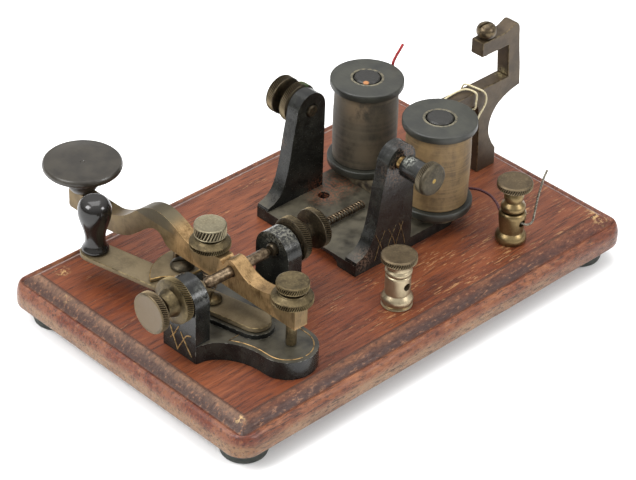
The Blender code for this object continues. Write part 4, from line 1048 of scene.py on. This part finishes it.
# %% [markdown]
# ## The anvil post
# The post that once stopped the sounder's lever is a brown bronze casting: a foot, a waist hollowed by a
# sweeping curve, a lower arm that runs back to the coils and an upper arm that carries a slotted stop
# screw. It is one slab with one outline, its long curves smoothed and its square corners kept.

# %% Cast the anvil post
def bronze_finish():
    use = Recipe("brown_bronze", 0.5, 0.4, (0.8, 0.8, 0.72))
    cloud = use.noise(6, detail=6.0)
    fine = use.noise(0.9, detail=4.0)
    metal = use.mix(use.step(cloud, 0.32, 0.66), (0.044, 0.028, 0.016), (0.085, 0.058, 0.034))
    metal = use.cover(metal, use.step(fine, 0.5, 0.75), 0.3, (0.12, 0.088, 0.055))
    worn = use.times(use.near((97.0, -2, 41), 4, 0.1), use.step(fine, 0.4, 0.55))
    metal = use.cover(metal, worn, 0.6, (0.5, 0.42, 0.25))
    dark = use.step(use.along(2), TOP_Z + 0.02, TOP_Z + 0.002)
    metal = use.cover(metal, dark, 0.45, (0.05, 0.03, 0.02))
    return use.done(metal, use.plus(use.times(fine, 0.35), 0.3), fine, 0.05)


bronze = bronze_finish()
bronze_edge = two_tone("bronze_edge", 0.35, 0.7, 2, 0.4, 0.6, (0.08, 0.058, 0.038), (0.19, 0.145, 0.09))
goose = [(82.6, 0.1), (93.5, 0.1), (93.2, 8.1)]
goose += smooth_run([(91.0, 11.2), (89.6, 14.0), (88.7, 16.2), (88.35, 18.4), (88.3, 20.6), (88.7, 22.8),
                     (89.5, 25.0), (90.7, 27.0), (92.4, 28.9), (94.5, 30.4), (97.0, 31.7), (99.8, 32.7),
                     (102.6, 33.4)])
goose += [(105.6, 33.9)]
goose += smooth_run([(105.4, 35.0), (104.7, 43.2), (103.5, 52.5), (102.9, 58.5), (102.6, 61.8), (101.9, 63.6),
                     (100.6, 64.6), (98.9, 64.5), (96.6, 63.3), (94.0, 62.4)], 4)
goose += [(80.6, 62.4), (80.6, 55.8), (96.4, 55.8), (97.6, 40.5), (62.0, 40.5), (62.0, 34.2)]
goose += smooth_run([(77.4, 34.0), (79.0, 33.7), (80.2, 32.4), (80.9, 29.6), (81.4, 26.0)])
post = as_object("anvil_post", slab(goose, -5.0, 1.4, "xz"), bronze)
drill(post, (85.5, -1.8, 0), 2.1, 50, 70)
drill(post, (88, -1.8, 0), 2.2, -1, 7.5, 16)
finish_piece(post, "base", "gooseneck", 0.45, bronze_edge)
ball = [(0, 53.6), (1.0, 53.8), (1.8, 54.8), (1.8, 62.7), (2.9, 62.7), (3.6, 63.3), (4.1, 64.4), (4.2, 65.5),
        (4.0, 66.6), (3.4, 67.6), (2.4, 68.3), (1.2, 68.6), (0, 68.7)]
slotted("stop_screw_head", "gooseneck_stop_screw", ball, 85.5, -1.8, -12, bronze_edge, "bronze",
        "gooseneck_stop_screw", 0.5, 1.5)
print("anvil post cast")

# %% [markdown]
# ## The binding posts
# The two posts don't match: the left one is nickel plated with a plain barrel, the right one dark brass with
# beads, and both have flat knurled heads gone brown on top. Each barrel has a cross hole for the wire.

# %% Post finishes and bodies
nickel = brass_finish("worn_nickel", (0.48, 0.41, 0.3), (0.64, 0.56, 0.42), (0.85, 0.78, 0.6), 0.38,
                      (1, 1, 0.4), 9, metallic=0.95)
dark_brass = brass_finish("dark_brass", (0.2, 0.15, 0.08), (0.34, 0.255, 0.135), (0.55, 0.42, 0.22), 0.36,
                          (1, 1, 1), 9, metallic=0.9)
browned = brass_finish("browned_head", (0.13, 0.1, 0.066), (0.18, 0.14, 0.092), (0.42, 0.34, 0.22), 0.45)
HOLE_Z = 10.2


def in_steps(a, b):
    """Rows at most half a millimetre apart, so that the cross hole doesn't spoil the shading round it."""
    count = max(1, round(abs(b[1] - a[1]) / 0.5))
    return [Vector(a).lerp(Vector(b), i / count) for i in range(count)]


def post_body(name, node, x, profile, top, finish):
    stem = [(0, -10.4), (1.7, -10.4), (1.7, 0.1)]
    well = [(2.1, top), (2.1, 12.6), (0, 12.6)]
    profile = [tuple(p) for a, b in zip(profile, profile[1:]) for p in in_steps(a, b)] + profile[-1:]
    made = as_object(name, lathe(stem + profile + well, (x, POST_Y, 0), count=96), finish)
    drill(made, (x, POST_Y, HOLE_Z), 1.6, -9, 9, 24, axis="+y")
    return finish_piece(made, "base", node)


post_body("nickel_barrel", "post_body_nickel", NICKEL_X, [
    (6.1, 0.1), (6.2, 0.35), (6.1, 0.6), (5.5, 0.8), (5.55, 1.0), (6.05, 1.6), (6.3, 2.4), (6.35, 3.1),
    (6.15, 4.0), (5.7, 4.8), (5.25, 5.4), (5.0, 5.8), (5.05, 6.1), (5.05, 13.8), (4.8, 14.2), (4.5, 14.35)],
    14.4, nickel)
post_body("brass_barrel", "post_body_brass", BRASS_X, [
    (5.6, 0.1), (6.0, 0.5), (6.3, 1.3), (6.35, 2.2), (6.1, 3.2), (5.5, 4.2), (4.85, 4.9), (4.95, 6.0),
    (5.2, 8.0), (5.45, 10.2), (5.6, 12.4), (5.45, 13.6), (4.9, 14.15), (4.2, 14.2)], 14.2, dark_brass)
print("post bodies turned")

# %% Post heads and nuts
neck = [(0, 13.0), (1.8, 13.0), (1.8, 14.7), (4.7, 14.7), (5.15, 14.95), (5.35, 15.5), (5.35, 16.0),
        (5.1, 16.6), (4.75, 16.95), (4.7, 17.3), (4.7, 18.9), (5.0, 19.4), (5.0, 19.75), (0, 19.75)]
made = as_object("nickel_neck", lathe(neck, (NICKEL_X, POST_Y, 0), count=56), nickel)
finish_piece(made, "post_thumb_nickel", "post_thumb_nickel")
beads = [(0, 13.0), (1.8, 13.0), (1.8, 14.5), (3.9, 14.5), (4.6, 14.9), (5.0, 15.7), (5.0, 16.6), (4.6, 17.5),
         (3.7, 18.2), (3.4, 18.7), (3.75, 19.6), (4.0, 20.6), (3.95, 21.6), (3.4, 22.8), (2.95, 23.6),
         (3.0, 24.3), (3.8, 24.8), (0, 24.8)]
made = as_object("brass_beads", lathe(beads, (BRASS_X, POST_Y, 0), count=56), dark_brass)
finish_piece(made, "post_thumb_brass", "post_thumb_brass")
for name, x, z, radius, body in (("nickel_head", NICKEL_X, 19.8, 7.1, "post_thumb_nickel"),
                                 ("brass_head", BRASS_X, 24.8, 7.2, "post_thumb_brass")):
    disc = [(0, z), (4.6, z), (6.6, z + 0.35), (radius - 0.05, z + 0.8), (radius, z + 0.95, 0.45),
            (radius, z + 2.5, 0.45), (radius - 0.1, z + 2.9), (radius - 0.4, z + 3.2), (radius - 0.9, z + 3.3),
            (radius - 1.5, z + 3.2), (0, z + 3.25)]
    made = as_object(name, lathe(disc, (x, POST_Y, 0), teeth=46), browned)
    finish_piece(made, body)
for name, x in (("post_nut_nickel", NICKEL_X), ("post_nut_brass", BRASS_X)):
    nut = [(2.0, -12.6), (3.9, -12.6), (4.2, -12.3), (4.2, -9.8), (3.9, -9.5), (2.0, -9.5)]
    made = as_object(f"{name}_hex", lathe(nut, (x, POST_Y, 0), count=6, bore=True), olive)
    finish_piece(made, "base", name)
print("heads and nuts made")

# %% [markdown]
# ## Table and light
# A pale table and a pale room keep the picture calm. One broad soft box stands high on the left, where it
# puts the long highlights on the knob and the posts, a weaker one fills from the right, and a third lights
# the top.

# %% Table, room and lights
use = Recipe("pale_table", 0.9, tone=(1, 1, 1))
bpy.ops.mesh.primitive_plane_add(size=6)
table = bpy.context.object
table.name = "table"
table.data.materials.append(use.done((0.96, 0.96, 0.96)))
table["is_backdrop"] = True
room = bpy.data.worlds.new("room")
bpy.context.scene.world = room
room.use_nodes = True
paint, sky = room.node_tree.nodes, room.node_tree.nodes["Background"]
height = paint.new("ShaderNodeSeparateXYZ")
fade = paint.new("ShaderNodeMapRange")
fade.inputs["From Min"].default_value, fade.inputs["From Max"].default_value = 0.0, 0.8
fade.inputs["To Min"].default_value, fade.inputs["To Max"].default_value = 0.25, 1.25
for one, other in ((paint.new("ShaderNodeTexCoord").outputs["Generated"], height.inputs[0]),
                   (height.outputs[2], fade.inputs["Value"]), (fade.outputs[0], sky.inputs["Strength"])):
    room.node_tree.links.new(one, other)
sky.inputs["Color"].default_value = (1, 1, 1, 1)
for name, spot, size, power in (("left_box", (-0.8, 0.2, 0.8), 0.5, 10.0),
                                ("right_box", (0.4, -0.9, 0.6), 0.35, 5.0),
                                ("top_box", (0.1, 0.2, 1.3), 1.0, 11.0)):
    light = bpy.data.lights.new(name, "AREA")
    light.size, light.energy = size, power
    lamp = bpy.data.objects.new(name, light)
    lamp.location = spot
    lamp.rotation_euler = (Vector((0, 0, 0.03)) - Vector(spot)).to_track_quat("-Z", "Y").to_euler()
    bpy.context.scene.collection.objects.link(lamp)
bpy.context.scene.view_settings.view_transform = "Standard"
print("three soft boxes over a pale table")

# %% [markdown]
# ## Compare the boxes
# The dressed model should fill the same box as the solid one. Both boxes are written down side by side.

# %% Compare the two boxes
new_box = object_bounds()
for label, box in (("solid", cad_box), ("dressed", new_box)):
    print(label, [round((high - low) * 1000, 1) for low, high in zip(*box)], "mm")
